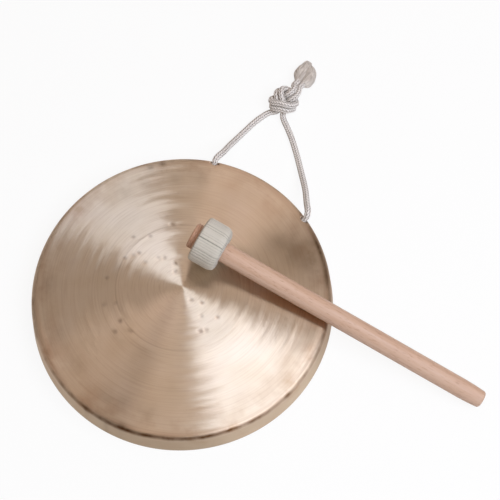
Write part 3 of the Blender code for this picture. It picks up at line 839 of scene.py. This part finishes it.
def filament_guides(name, rings, seed):
    """Guide lines down the frayed end's surface, spread round it and ending at different places."""
    random = np.random.default_rng(seed)
    points, edges = [], []
    for number in range(FILAMENTS):
        around = (number + random.uniform(-FILAMENT_JITTER, FILAMENT_JITTER)) / FILAMENTS * TUFT_SIDES
        swing = random.normal(0, FILAMENT_SWING)
        last = int(len(rings) * random.uniform(*FILAMENT_ENDS)) - 1
        lift = random.uniform(*FILAMENT_LIFT)
        stops = np.linspace(0, last, FILAMENT_STOPS).astype(int)
        for step, ring in enumerate(stops):
            angle = (around + swing * ring / len(rings)) % TUFT_SIDES
            low, share = int(angle), angle - int(angle)
            point = rings[ring, low] * (1 - share) + rings[ring, (low + 1) % TUFT_SIDES] * share
            out = point - rings[ring].mean(axis=0)
            points.append(point + out / max(np.linalg.norm(out), 1e-6) * lift)
            if step:
                edges.append((len(points) - 2, len(points) - 1))
    return wire_of(name, points, edges)


def make_tuft(name, side, sections, replaced, stuff):
    """A frayed end with its loose filaments; the two ends get different seeds."""
    rings = tuft_rings(side, sections)
    body = lofted(name, rings, stuff)
    guides = filament_guides(f"{name}_guides", rings, GUIDE_SEED + side)
    sizes = {"Radius": FILAMENT_RADIUS, "Wander": FILAMENT_WANDER, "Seed": BEND_SEED + side}
    filaments = grown(f"{name}_filaments", guides, filament_tree, sizes, stuff)
    for piece in (body, filaments):
        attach(piece, "gong")
    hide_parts(replaced)
    return [body, filaments]


# Gong


def gong_profile():
    """Points (radius, height) from the axis out to the lip and back inside, and where the inside starts."""
    centre_radius, centre_height, slope = shoulder()
    angles = np.linspace(slope, math.pi / 2 - RIM_FLARE, SHOULDER_STEPS)

    def arc(radius):
        across, up = radius * np.sin(angles), radius * np.cos(angles)
        return np.column_stack([centre_radius + across, centre_height + up])

    def line(start, end, step):
        count = max(1, round(math.dist(start, end) / step))
        return np.linspace(start, end, count + 1)[:-1]

    outside, inside = arc(SHOULDER_ROUND), arc(SHOULDER_ROUND - GONG_WALL)[::-1]
    lip = -GONG_HEIGHT

    def rim(start, height):
        return start[0] + (start[1] - height) * math.tan(RIM_FLARE), height

    outer_lip, inner_lip = rim(outside[-1], lip), rim(inside[0], lip)
    rounding = np.linspace(0, math.pi / 2, LIP_POINTS)
    outer_round = [
        (outer_lip[0] - LIP_ROUND * (1 - math.cos(a)), lip + LIP_ROUND * (1 - math.sin(a))) for a in rounding
    ]
    inner_round = [
        (inner_lip[0] + LIP_ROUND * (1 - math.sin(a)), lip + LIP_ROUND * (1 - math.cos(a))) for a in rounding
    ]
    under = (DISC_RADIUS - GONG_WALL * math.tan(slope / 2), -GONG_WALL)
    across_disc = line((0, 0), (DISC_RADIUS, 0), PROFILE_STEP)
    outer = [
        *((radius, -DISC_CROWN * (radius / DISC_RADIUS) ** 2) for radius, _ in across_disc),
        *line((DISC_RADIUS, -DISC_CROWN), outside[0], PROFILE_STEP),
        *outside[:-1],
        *line(outside[-1], outer_round[0], 2 * PROFILE_STEP),
        *outer_round,
    ]
    inner = [
        *inner_round,
        *line(rim(inside[0], lip + LIP_ROUND), inside[0], 2 * PROFILE_STEP)[1:],
        *inside,
        *line(inside[-1], under, 2 * PROFILE_STEP)[1:],
        *line(under, (0, -GONG_WALL), 2 * PROFILE_STEP),
        (0, -GONG_WALL),
    ]
    return np.array([*outer, *inner]), len(outer)


def turned_sheet(node, given):
    """A sheet of points, their places on the profile turned round the axis, and their numbers along it."""
    columns = node("Math", [given["Segments"], 1.0], operation="ADD")
    sheet = node("MeshGrid", [1.0, 1.0, columns, given["Profile Points"]])
    corner = node("SeparateXYZ", [node("InputPosition")]).outputs
    angle = node("Math", [corner["X"], 2 * math.pi, math.pi], operation="MULTIPLY_ADD")
    last = node("Math", [given["Profile Points"], 1.0], operation="SUBTRACT")
    share = node("Math", [corner["Y"], 0.5], operation="ADD")
    number = node("Math", [share, last], operation="MULTIPLY")
    number = node("Math", [number], operation="ROUND")
    wanted = {"Geometry": given["Geometry"], "Value": node("InputPosition"), "Index": number}
    on_profile = node("SampleIndex", wanted, data_type="FLOAT_VECTOR")
    turned = node("VectorRotate", {"Vector": on_profile, "Angle": angle}, rotation_type="Z_AXIS")
    return sheet, turned, number


def hammer_unevenness(node, given, flat):
    """The slow rise and fall that hammering leaves in the sheet."""
    fineness = node("Math", [1.0, given["Unevenness Width"]], operation="DIVIDE")
    waves = {"Vector": flat, "W": given["Seed"], "Scale": fineness, "Detail": 1.5}
    noise = node("TexNoise", waves, noise_dimensions="4D")
    centred = node("Math", [noise, 0.5], operation="SUBTRACT")
    return node("Math", [centred, given["Unevenness"]], operation="MULTIPLY")


def hammer_dents(node, given, flat):
    """1 in the middle of each dent and 0 outside them, with ragged edges."""
    ragged = node("TexNoise", {"Vector": flat, "Scale": DENT_EDGE_NICKS, "Detail": 1.0})
    ragged = node("VectorMath", [ragged.outputs["Color"], (0.5, 0.5, 0.5)], operation="SUBTRACT")
    ragged = node("VectorMath", {0: ragged, "Scale": given["Dent Raggedness"]}, operation="SCALE")
    shifted = node("VectorMath", [flat, ragged], operation="ADD")
    shifted = node("VectorMath", [shifted, (1.0, 1.0, 0.0)], operation="MULTIPLY")
    dents = node("ObjectInfo", {"Object": given["Dents"]}).outputs["Geometry"]
    away = node("Proximity", {"Geometry": dents, "Sample Position": shifted}, target_element="POINTS")
    fading = [away.outputs["Distance"], 0.0, given["Dent Radius"], 1.0, 0.0]
    return node("MapRange", fading, interpolation_type="SMOOTHSTEP")


def gong_tree(sizes, stuff):
    """Turns the profile once round the axis, then adds the hammer's unevenness and the small dents."""
    node, given, result = geometry_tree("turned_gong", sizes)
    sheet, turned, number = turned_sheet(node, given)
    flat = node("VectorMath", [turned, (1.0, 1.0, 0.0)], operation="MULTIPLY")
    dent = hammer_dents(node, given, flat)
    deep = node("Math", [dent, given["Dent Depth"]], operation="MULTIPLY")
    height = node("Math", [hammer_unevenness(node, given, flat), deep], operation="SUBTRACT")
    inside = node("Math", [number, given["Inside From"]], operation="GREATER_THAN")
    for label, value in (("dent", dent), ("inside", inside)):
        kept = {"Geometry": sheet, "Name": label, "Value": value}
        sheet = node("StoreNamedAttribute", kept, data_type="FLOAT")
    offset = node("CombineXYZ", {"Z": height})
    shaped = node("SetPosition", {"Geometry": sheet, "Position": turned, "Offset": offset})
    closed = node("MergeByDistance", {"Geometry": shaped, "Distance": WELD_DISTANCE})
    return end_tree(node, node("SetShadeSmooth", {"Geometry": closed}), stuff, result)


def drill(side, stuff):
    """A round cutter on a cord hole's axis."""
    angles = round_angles(DRILL_SIDES)
    middle = hole_point(side, 0)
    along = hole_point(side, 1) - middle
    across = np.cross(along, [0, 0, 1])
    across /= np.linalg.norm(across)
    third = np.cross(along, across)
    ring = HOLE_RADIUS * (np.cos(angles)[:, None] * across + np.sin(angles)[:, None] * third)
    ends = [middle + along * reach + ring for reach in (-DRILL_LENGTH / 2, DRILL_LENGTH / 2)]
    return lofted(f"drill_{side}", np.array(ends), stuff)


def smudge_darkness(points):
    """How much the smudges darken the face at these points, 0 to 1."""
    spots = [(*row, darkness) for group, darkness in SMUDGES for row in group]
    strength = np.sin(np.linspace(0, math.pi, STREAK_SPOTS)) ** 0.5 * STREAK_DARKNESS
    for angle, darkness in zip(np.linspace(*STREAK_ANGLES, STREAK_SPOTS), strength):
        x, y = STREAK_RADIUS * math.cos(angle), STREAK_RADIUS * math.sin(angle)
        spots.append((x, y, STREAK_SPREAD, darkness))
    darkest = np.zeros(len(points))
    for x, y, spread, darkness in spots:
        away = np.hypot(points[:, 0] - x, points[:, 1] - y) / spread
        darkest = np.maximum(darkest, darkness * np.exp(-(away**2)))
    return darkest


def make_gong(stuff):
    """The turned and hammered gong, with its cord holes drilled and its smudges marked."""
    profile, inside_from = gong_profile()
    base = wire_of("gong_profile", [(radius, 0, height) for radius, height in profile])
    dents = wire_of("dent_places", [(x, y, 0) for x, y in HAMMER_DENTS])
    sizes = {
        "Segments": GONG_SEGMENTS, "Profile Points": len(profile), "Inside From": inside_from,
        "Unevenness": UNEVENNESS, "Unevenness Width": UNEVENNESS_WIDTH, "Seed": UNEVENNESS_SEED,
        "Dents": dents, "Dent Radius": DENT_RADIUS, "Dent Depth": DENT_DEPTH,
        "Dent Raggedness": DENT_RAGGEDNESS,
    }
    gong = grown("scraped_gong", base, gong_tree, sizes, stuff)
    drills = [drill(-1, stuff), drill(1, stuff)]
    for cutter in drills:
        cut = gong.modifiers.new(cutter.name, "BOOLEAN")
        cut.operation = "DIFFERENCE"
        cut.solver = "EXACT"
        cut.object = cutter
    mesh = plain_mesh(gong)
    gong.modifiers.clear()
    gong.data = mesh
    mesh.materials.clear()
    mesh.materials.append(stuff)
    for helper in (*drills, dents):
        bpy.data.objects.remove(helper)
    point_attribute(mesh, "smudge", smudge_darkness(vertex_points(mesh)))
    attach(gong, "gong")
    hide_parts("gong_disc")


# Beater


def beater_place():
    """The beater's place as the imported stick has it: +X along the stick, from the middle of the head."""
    points = np.unique(np.round(vertex_points(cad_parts["beater_shaft"].data), 7), axis=0)
    middle = points.mean(axis=0)
    axis = np.linalg.svd(points - middle, full_matrices=False)[2][0]
    axis = axis * np.sign(axis[0])
    tip = middle + axis * ((points - middle) @ axis).min()
    along = Vector(axis)
    across = Vector((0, 0, 1)).cross(along).normalized()
    turn = Matrix((along, across, along.cross(across))).transposed().to_4x4()
    return Matrix.Translation(Vector(tip) + along * (TIP_LENGTH + TAPE_WIDTH / 2)) @ turn


def shaft_profile():
    """The turned stick as (radius, distance along it), from the tip to the handle's end."""
    half_wrap = TAPE_WIDTH / 2
    tip = -half_wrap - TIP_LENGTH
    core_end = half_wrap - CORE_STEP - TAPE_CLEARANCE
    taper_start = HANDLE_REACH - HANDLE_END_TAPER
    corner = HANDLE_REACH - HANDLE_END_ROUND
    quarter = np.linspace(0, math.pi / 2, TURNED_CORNER_POINTS)
    rounded = [
        (CORE_RADIUS - TIP_ROUND * (1 - math.sin(a)), tip + TIP_ROUND * (1 - math.cos(a))) for a in quarter
    ]
    grooves = []
    for place in TIP_GROOVES:
        for share, depth in TIP_GROOVE_SHAPE:
            along = tip + place + share * TIP_GROOVE_WIDTH / 2
            grooves.append((CORE_RADIUS - depth * TIP_GROOVE_DEPTH, along))
    end = [
        (HANDLE_END_RADIUS - HANDLE_END_ROUND * (1 - math.cos(a)), corner + HANDLE_END_ROUND * math.sin(a))
        for a in quarter
    ]
    step = CORE_RADIUS - SHAFT_RADIUS
    cove = [
        (SHAFT_RADIUS + step * (1 - math.sin(a)), core_end + CORE_STEP * (1 - math.cos(a)))
        for a in quarter
    ]
    narrowing = HANDLE_RADIUS - HANDLE_END_RADIUS
    halfway = (HANDLE_RADIUS + HANDLE_END_RADIUS) / 2 + narrowing * HANDLE_END_FULLNESS
    stations = [cove[-1][1], HANDLE_REACH / 2, taper_start, (taper_start + corner) / 2, corner]
    radii = [SHAFT_RADIUS, (SHAFT_RADIUS + HANDLE_RADIUS) / 2, HANDLE_RADIUS, halfway, HANDLE_END_RADIUS]
    places = np.linspace(stations[0], stations[-1], SHAFT_STATIONS)[1:-1]
    body = list(zip(np.interp(places, stations, radii), places))
    return [(POLE_RADIUS, tip), *rounded, *grooves, *cove, *body, *end, (POLE_RADIUS, HANDLE_REACH)]


def make_stick(place, stuff):
    """The turned stick, with its grooved tip and rounded end."""
    profile = np.array(shaft_profile())
    angles = round_angles(SHAFT_SEGMENTS)
    along = np.repeat(profile[:, 1:], SHAFT_SEGMENTS, axis=1)
    across, up = profile[:, :1] * np.cos(angles)[None], profile[:, :1] * np.sin(angles)[None]
    matrix = np.array(place)
    rings = np.stack([along, across, up], axis=2) @ matrix[:3, :3].T + matrix[:3, 3]
    stick = lofted("turned_stick", rings, stuff)
    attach(stick, "beater")
    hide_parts("beater_shaft")


def wound_ribbon(node, given):
    """The plain tape wound in a spiral, and the length along it at each of its points."""
    winding = node("CurveSpiral", {
        "Resolution": given["Points Per Turn"], "Rotations": given["Turns"],
        "Start Radius": given["Inner Radius"], "End Radius": given["Outer Radius"], "Height": 0.0,
    })
    upright = node("SetCurveNormal", {"Curve": winding}, mode="Z_UP")
    measured = node("CaptureAttribute")
    measured.capture_items.new("FLOAT", "Along")
    feed(measured, {"Geometry": upright, "Along": node("SplineParameter").outputs["Length"]})
    section = node("CurvePrimitiveQuadrilateral", [given["Thickness"], given["Tape Width"]])
    corners = {"Curve": section, "Radius": given["Corner"], "Count": TAPE_CORNER_POINTS, "Limit Radius": True}
    section = node("FilletCurve", corners, mode="POLY")
    section = node("ResampleCurve", {"Curve": section, "Count": TAPE_SECTION_POINTS}, mode="COUNT")
    ribbon = {"Curve": measured.outputs["Geometry"], "Profile Curve": section, "Fill Caps": True}
    return node("CurveToMesh", ribbon), measured.outputs["Along"]


def tape_ribs(node, given, along):
    """The height of the cross ribs, 0 to 1: their spacing drifts, and fluff fills some of the grooves."""
    phase = node("Math", [along, given["Rib Spacing"]], operation="DIVIDE")
    drift = node("TexNoise", {"W": along, "Scale": RIB_DRIFTS, "Detail": 1.0}, noise_dimensions="1D")
    phase = node("Math", [drift, given["Rib Wander"], phase], operation="MULTIPLY_ADD")
    phase = node("Math", [phase, math.pi], operation="MULTIPLY")
    wave = node("Math", [phase], operation="SINE")
    wave = node("Math", [wave], operation="ABSOLUTE")
    wave = node("Math", [wave, RIB_FULLNESS], operation="POWER")
    filled = node("TexNoise", {"W": along, "Scale": RIB_FILLINGS, "Detail": 0.0}, noise_dimensions="1D")
    filled = node("MapRange", [filled, 0.35, 0.65, 0.0, RIB_GROOVE_FILLING])
    return node("Math", [wave, filled], operation="MAXIMUM")


def wrap_tree(sizes, stuff):
    """One tape wound in a spiral, with ribs across its outer side."""
    node, given, result = geometry_tree("wound_tape", sizes)
    tape, along = wound_ribbon(node, given)
    ribs = tape_ribs(node, given, along)
    tape = node("StoreNamedAttribute", {"Geometry": tape, "Name": "rib", "Value": ribs}, data_type="FLOAT")
    normal = node("InputNormal")
    place = node("InputPosition")
    outwards = node("VectorMath", [place, (1.0, 1.0, 0.0)], operation="MULTIPLY")
    outwards = node("VectorMath", [outwards], operation="NORMALIZE")
    facing = node("VectorMath", [normal, outwards], operation="DOT_PRODUCT").outputs["Value"]
    outer = node("MapRange", [facing, 0.3, 0.9])
    lift = node("Math", [ribs, given["Rib Height"]], operation="MULTIPLY")
    lift = node("Math", [lift, outer], operation="MULTIPLY")
    offset = node("VectorMath", {0: outwards, "Scale": lift}, operation="SCALE")
    ribbed = node("SetPosition", {"Geometry": tape, "Offset": offset})
    return end_tree(node, node("SetShadeSmooth", {"Geometry": ribbed}), stuff, result)


def press_round(mesh, outer):
    """Presses the wound head's square corners round, each over its own width, with all the turns there."""
    points = vertex_points(mesh)
    radius, height = np.hypot(points[:, 0], points[:, 1]), points[:, 2].copy()
    moved = radius.copy()
    for side, corner in ((1, HANDLE_SIDE_CORNER), (-1, TIP_SIDE_CORNER)):
        out = np.clip((radius - outer + corner) / corner, 0, 1)
        end = np.clip((side * height - TAPE_WIDTH / 2 + corner) / corner, 0, 1)
        moved += corner * out * (np.sqrt(1 - end**2 / 2) - 1)
        points[:, 2] += side * corner * end * (np.sqrt(1 - out**2 / 2) - 1)
    points[:, :2] *= (moved / radius)[:, None]
    mesh.vertices.foreach_set("co", points.ravel())
    mesh.update()


def make_wrap(place, stuff):
    """The tape wound round the head, with its corners pressed round."""
    pitch = TAPE_THICKNESS + TAPE_GAP
    inner = CORE_RADIUS + TAPE_CLEARANCE + TAPE_THICKNESS / 2
    outer = inner + pitch * TAPE_TURNS
    sizes = {
        "Turns": TAPE_TURNS, "Inner Radius": inner, "Outer Radius": outer,
        "Points Per Turn": POINTS_PER_TURN, "Tape Width": TAPE_WIDTH, "Thickness": TAPE_THICKNESS,
        "Corner": TAPE_CORNER, "Rib Spacing": RIB_SPACING, "Rib Height": RIB_HEIGHT, "Rib Wander": RIB_WANDER,
    }
    # The tree makes its own curve, so this line only carries the modifier
    base = wire_of("wrap_start", [(0, 0, 0), (TAPE_THICKNESS, 0, 0)])
    wrap = grown("ribbed_head_wrap", base, wrap_tree, sizes, stuff)
    press_round(wrap.data, outer + TAPE_THICKNESS / 2)
    lay_along = Matrix(((0, 0, 1), (1, 0, 0), (0, 1, 0))).to_4x4()
    wrap.data.transform(place @ Matrix.Rotation(math.pi / 2 - TAPE_START, 4, "X") @ lay_along)
    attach(wrap, "beater")
    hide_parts("beater_head_wrap")


# Materials


def ring_noise(node, radius, towards, fineness, breaks):
    """Noise drawn out into rings: fine across the radius and slow round the axis."""
    across = node("Math", [radius, fineness], operation="MULTIPLY")
    across = node("CombineXYZ", {"Z": across})
    round_axis = node("VectorMath", {0: towards, "Scale": breaks}, operation="SCALE")
    place = node("VectorMath", [round_axis, across], operation="ADD")
    return node("TexNoise", {"Vector": place, "Scale": 1.0, "Detail": 3.0})


def scraping(node, flat):
    """The tool's marks: the radius and outward direction about their centre, the rings and their grain."""
    scraped = node("VectorMath", [flat, SCRAPE_CENTRE], operation="SUBTRACT")
    radius = node("VectorMath", [scraped], operation="LENGTH").outputs["Value"]
    towards = node("VectorMath", [scraped], operation="NORMALIZE")
    rings = ring_noise(node, radius, towards, SCRAPE_RINGS, SCRAPE_RING_BREAKS)
    strokes = ring_noise(node, radius, towards, SCRAPE_STROKES, SCRAPE_STROKE_BREAKS)
    lean = node("MapRange", [strokes, 0.25, 0.75, -STROKE_LEAN, STROKE_LEAN])
    around = node("VectorMath", [(0.0, 0.0, 1.0), towards], operation="CROSS_PRODUCT")
    aside = node("VectorMath", {0: towards, "Scale": lean}, operation="SCALE")
    return radius, towards, rings, node("VectorMath", [around, aside], operation="ADD")


def turned_line(node, radius):
    """The line turned round the flat disc: how dark it is, and the small step there."""
    beyond = node("Math", [radius, TURNED_LINE_RADIUS], operation="SUBTRACT")
    away = node("Math", [beyond], operation="ABSOLUTE")
    dark = node("MapRange", [away, *TURNED_LINE_EDGES, 0.16, 0.0])
    fall = [beyond, -TURNED_STEP_HALF, TURNED_STEP_HALF, 1.0, 0.0]
    return dark, node("MapRange", fall, interpolation_type="SMOOTHSTEP")


def heat_stains(node, place, radius, clouds):
    """The heat tints towards the edge, and the smudges that the annealing left together with the dark
    shoulder streak, both blotchy.
    """
    blotches = node("TexNoise", {"Vector": place, "Scale": HEAT_BLOTCHES, "Detail": 5.0})
    blotches = node("MapRange", [blotches, 0.42, 0.72])
    outer = node("MapRange", [radius, *TINT_RADII, 0.0, 0.6])
    tint = node("Math", [outer, blotches], operation="MULTIPLY")
    band = node("MapRange", [radius, *EDGE_BAND_RADII, 0.0, 0.5], interpolation_type="SMOOTHSTEP")
    band_share = node("MapRange", [clouds, 0.35, 0.6, 0.3, 1.0])
    band = node("Math", [band, band_share], operation="MULTIPLY")
    tint = node("Math", [tint, band], operation="MAXIMUM")
    smudge = node("Attribute", attribute_name="smudge").outputs["Fac"]
    uneven = node("MapRange", [blotches, 0.0, 0.6, 0.65, 1.0])
    return tint, node("Math", [smudge, uneven], operation="MULTIPLY")


def crease_stain(node, towards, radius, above_rim, outside):
    """The dark line where the scraping stops: it wanders, and is darkest in patches and on one side."""
    wander = node("TexNoise", {"Vector": towards, "Scale": CREASE_WAVES, "Detail": 6.0})
    shifted = node("Math", [wander, CREASE_WANDER, radius], operation="MULTIPLY_ADD")
    away = node("Math", [shifted, CREASE_RADIUS], operation="SUBTRACT")
    away = node("Math", [away], operation="ABSOLUTE")
    crease = node("MapRange", [away, 0.0, CREASE_WIDTH, 1.0, 0.0], interpolation_type="SMOOTHSTEP")
    side = node("VectorMath", [towards, STAINED_SIDE], operation="DOT_PRODUCT").outputs["Value"]
    side = node("MapRange", [side, 0.45, 0.85, 0.0, 0.5])
    patches = node("TexNoise", {"Vector": towards, "Scale": CREASE_PATCHES, "Detail": 2.0})
    patches = node("MapRange", [patches, 0.4, 0.68, 0.1, 0.5])
    darkness = node("Math", [side, patches], operation="ADD")
    for factor in (darkness, above_rim, outside):
        crease = node("Math", [crease, factor], operation="MULTIPLY")
    return crease


def dent_stain(node, flat):
    """The grime that the dents hold, some more and some less."""
    dent = node("Attribute", attribute_name="dent").outputs["Fac"]
    grime = node("TexNoise", {"Vector": flat, "Scale": DENT_STAINS, "Detail": 0.0})
    grime = node("MapRange", [grime, 0.3, 0.7, 0.15, 0.7])
    return node("Math", [dent, grime], operation="MULTIPLY")


def scraped_bronze():
    """Bell bronze, hammered and annealed, then scraped on a lathe.

    The eye sees fine rings, a light that fans out from the middle, brown heat tints near the
    edge and a dark line where the scraping stops. The rim is duller, its lip carries a painted contact
    shadow, and the inside is left dark.
    """
    bronze, node, shader = new_material("lathe_scraped_bell_bronze")
    place = node("TexCoord").outputs["Object"]
    flat = node("VectorMath", [place, (1.0, 1.0, 0.0)], operation="MULTIPLY")
    radius = node("VectorMath", [flat], operation="LENGTH").outputs["Value"]
    scrape_radius, towards, rings, grain = scraping(node, flat)
    clouds = node("TexNoise", {"Vector": place, "Scale": SKIN_CLOUDS, "Detail": 4.0, "Roughness": 0.55})
    metal = node("ValToRGB", [clouds], stops=((0.3, "#D9C7B0"), (0.5, "#E0D0BC"), (0.7, "#E4D5C4")))
    between_rings = node("MapRange", [rings, 0.3, 0.55, 0.22, 0.0])
    line, step = turned_line(node, scrape_radius)
    tint, smudge = heat_stains(node, place, radius, clouds)
    height = node("SeparateXYZ", [place]).outputs["Z"]
    above_rim = node("MapRange", [height, *RIM_HEIGHTS])
    rim = node("MapRange", [height, *RIM_HEIGHTS, 0.7, 0.0])
    # Painted shadow: the lip is darkened where the gong meets the floor
    lip = node("MapRange", [height, *LIP_SHADOW_HEIGHTS, 0.8, 0.0])
    inside = node("Attribute", attribute_name="inside").outputs["Fac"]
    outside = node("Math", [1.0, inside], operation="SUBTRACT")
    skin = node("ValToRGB", [clouds], stops=((0.3, "#694F3D"), (0.7, "#7D614B")))
    coloured = paint(
        node, metal,
        (between_rings, "#AE9076"),
        (line, "#9A7D65"),
        (tint, "#A2764F"),
        (smudge, "#5C452F"),
        (rim, "#AF9980"),
        (lip, "#756B60"),
        (crease_stain(node, towards, radius, above_rim, outside), "#5E3E22"),
        (dent_stain(node, flat), "#7D6150"),
        (inside, skin),
    )
    turned = node("Bump", {"Height": step, "Strength": 1.0, "Distance": TURNED_STEP_DEPTH})
    scraped = node("Bump", {"Height": rings, "Strength": 0.35, "Distance": SCRAPE_DEPTH, "Normal": turned})
    feed(shader, {
        "Base Color": coloured, "Metallic": 1.0, "Roughness": node("MapRange", [rings, 0.3, 0.7, 0.36, 0.41]),
        "Anisotropic": 1.0, "Anisotropic Rotation": 0.25, "Tangent": grain, "Normal": scraped,
    })
    return bronze


def braided_nylon():
    """Off-white nylon braid, with grey painted shade between its strands and its stitch crowns painted
    lighter: a soft sheen on each stitch.
    """
    nylon, node, shader = new_material("braided_nylon")
    height = node("Attribute", attribute_name="braid").outputs["Fac"]
    place = node("TexCoord").outputs["Object"]
    flecks = node("TexNoise", {"Vector": place, "Scale": NYLON_FIBRES, "Detail": 2.0})
    # Painted shade and light: the braid's low places are painted grey and its high stitch crowns lighter
    mixed = node("Math", [flecks, 0.35, height], operation="MULTIPLY_ADD")
    threads_with_painted_shade = node("ValToRGB", [mixed], stops=((0.42, "#4E453D"), (0.7, "#C0B8AF"), (0.98, "#EFEAE3")))
    feed(shader, {"Base Color": threads_with_painted_shade, "Roughness": 0.55, "Sheen Weight": 0.2})
    return nylon


def loose_fibre():
    """Frayed nylon fibres, combed together: greyer than the braid, with streaks along them."""
    fibre, node, shader = new_material("loose_nylon_fibre")
    place = node("TexCoord").outputs["Object"]
    along = node("Mapping", {"Vector": place, "Scale": (1.0, 0.12, 1.0)}, vector_type="POINT")
    streaks = node("TexNoise", {"Vector": along, "Scale": NYLON_FIBRES, "Detail": 3.0})
    colours = node("ValToRGB", [streaks], stops=((0.3, "#B9AEA2"), (0.65, "#E2DACF")))
    bump = node("Bump", {"Height": streaks, "Strength": 0.5, "Distance": FIBRE_RELIEF})
    feed(shader, {"Base Color": colours, "Roughness": 0.5, "Sheen Weight": 0.3, "Normal": bump})
    return fibre


def beech_grain(node, along_stick):
    """The fine grain, its bands with the grain in them, and dark flecks, all drawn out along the stick."""
    stretched, fleck_place = (
        node("Mapping", {"Vector": along_stick, "Scale": (share, 1.0, 1.0)}, vector_type="POINT")
        for share in (0.05, 0.16)
    )
    grain = node("TexNoise", {"Vector": stretched, "Scale": BEECH_GRAIN, "Detail": 4.0})
    bands = node("TexNoise", {"Vector": stretched, "Scale": BEECH_BANDS, "Detail": 3.0})
    mixed = node("Math", [grain, bands], operation="ADD")
    mixed = node("Math", [mixed, 0.5], operation="MULTIPLY")
    flecks = node("TexNoise", {"Vector": fleck_place, "Scale": BEECH_FLECKS, "Detail": 1.0})
    return grain, mixed, node("MapRange", [flecks, 0.58, 0.72, 0.0, 0.5])


def turned_beech(place):
    """Turned beech, barely oiled: peach brown with short darker flecks along the grain.

    The struck tip is worn redder, and the side that faces down is painted a warmer, darker brown as shade.
    """
    beech, node, shader = new_material("turned_beech")
    stick_frame = {"Location": place.to_translation(), "Rotation": place.to_euler()}
    in_scene = node("TexCoord").outputs["Object"]
    along_stick = node("Mapping", {"Vector": in_scene, **stick_frame}, vector_type="TEXTURE")
    grain, mixed, flecks = beech_grain(node, along_stick)
    wood = node("ValToRGB", [mixed], stops=((0.34, "#C29B80"), (0.5, "#CEAB91"), (0.66, "#D5B69F")))
    along = node("SeparateXYZ", [along_stick]).outputs["X"]
    worn = node("MapRange", [along, -TAPE_WIDTH / 2 - WEAR_FADE, -TAPE_WIDTH / 2, 0.4, 0.0])
    # Painted shade: where the stick faces down it is painted a warmer, darker brown
    normal = node("NewGeometry").outputs["Normal"]
    facing_up = node("SeparateXYZ", [normal]).outputs["Z"]
    underside_shade = node("MapRange", [facing_up, -0.9, 0.25, 0.7, 0.0])
    coloured = paint(node, wood, (flecks, "#A87D62"), (worn, "#B27A58"), (underside_shade, "#AA6A38"))
    bump = node("Bump", {"Height": grain, "Strength": 0.2, "Distance": FIBRE_RELIEF})
    feed(shader, {"Base Color": coloured, "Roughness": 0.5, "Normal": bump})
    return beech


def ribbed_cotton():
    """Woven cotton tape with cross ribs: grey painted shade in the grooves and off-white on the ribs."""
    cotton, node, shader = new_material("ribbed_cotton_tape")
    rib = node("Attribute", attribute_name="rib").outputs["Fac"]
    place = node("TexCoord").outputs["Object"]
    fuzz = node("TexNoise", {"Vector": place, "Scale": COTTON_FUZZ, "Detail": 3.0})
    mixed = node("Math", [fuzz, 0.5, rib], operation="MULTIPLY_ADD")
    # Painted shade: the grooves between the ribs are painted grey
    threads_with_painted_shade = node("ValToRGB", [mixed], stops=((0.35, "#77766B"), (0.75, "#BAB4A5"), (1.0, "#CEC8BA")))
    bump = node("Bump", {"Height": fuzz, "Strength": 0.4, "Distance": FIBRE_RELIEF})
    feed(shader, {"Base Color": threads_with_painted_shade, "Roughness": 0.9, "Sheen Weight": 0.2, "Normal": bump})
    return cotton


def main():
    make_camera()
    make_cords(braided_nylon(), loose_fibre())
    make_gong(scraped_bronze())
    place = beater_place()
    make_stick(place, turned_beech(place))
    make_wrap(place, ribbed_cotton())
    make_room()
    make_lights()
    make_floor(white_paper())


main()
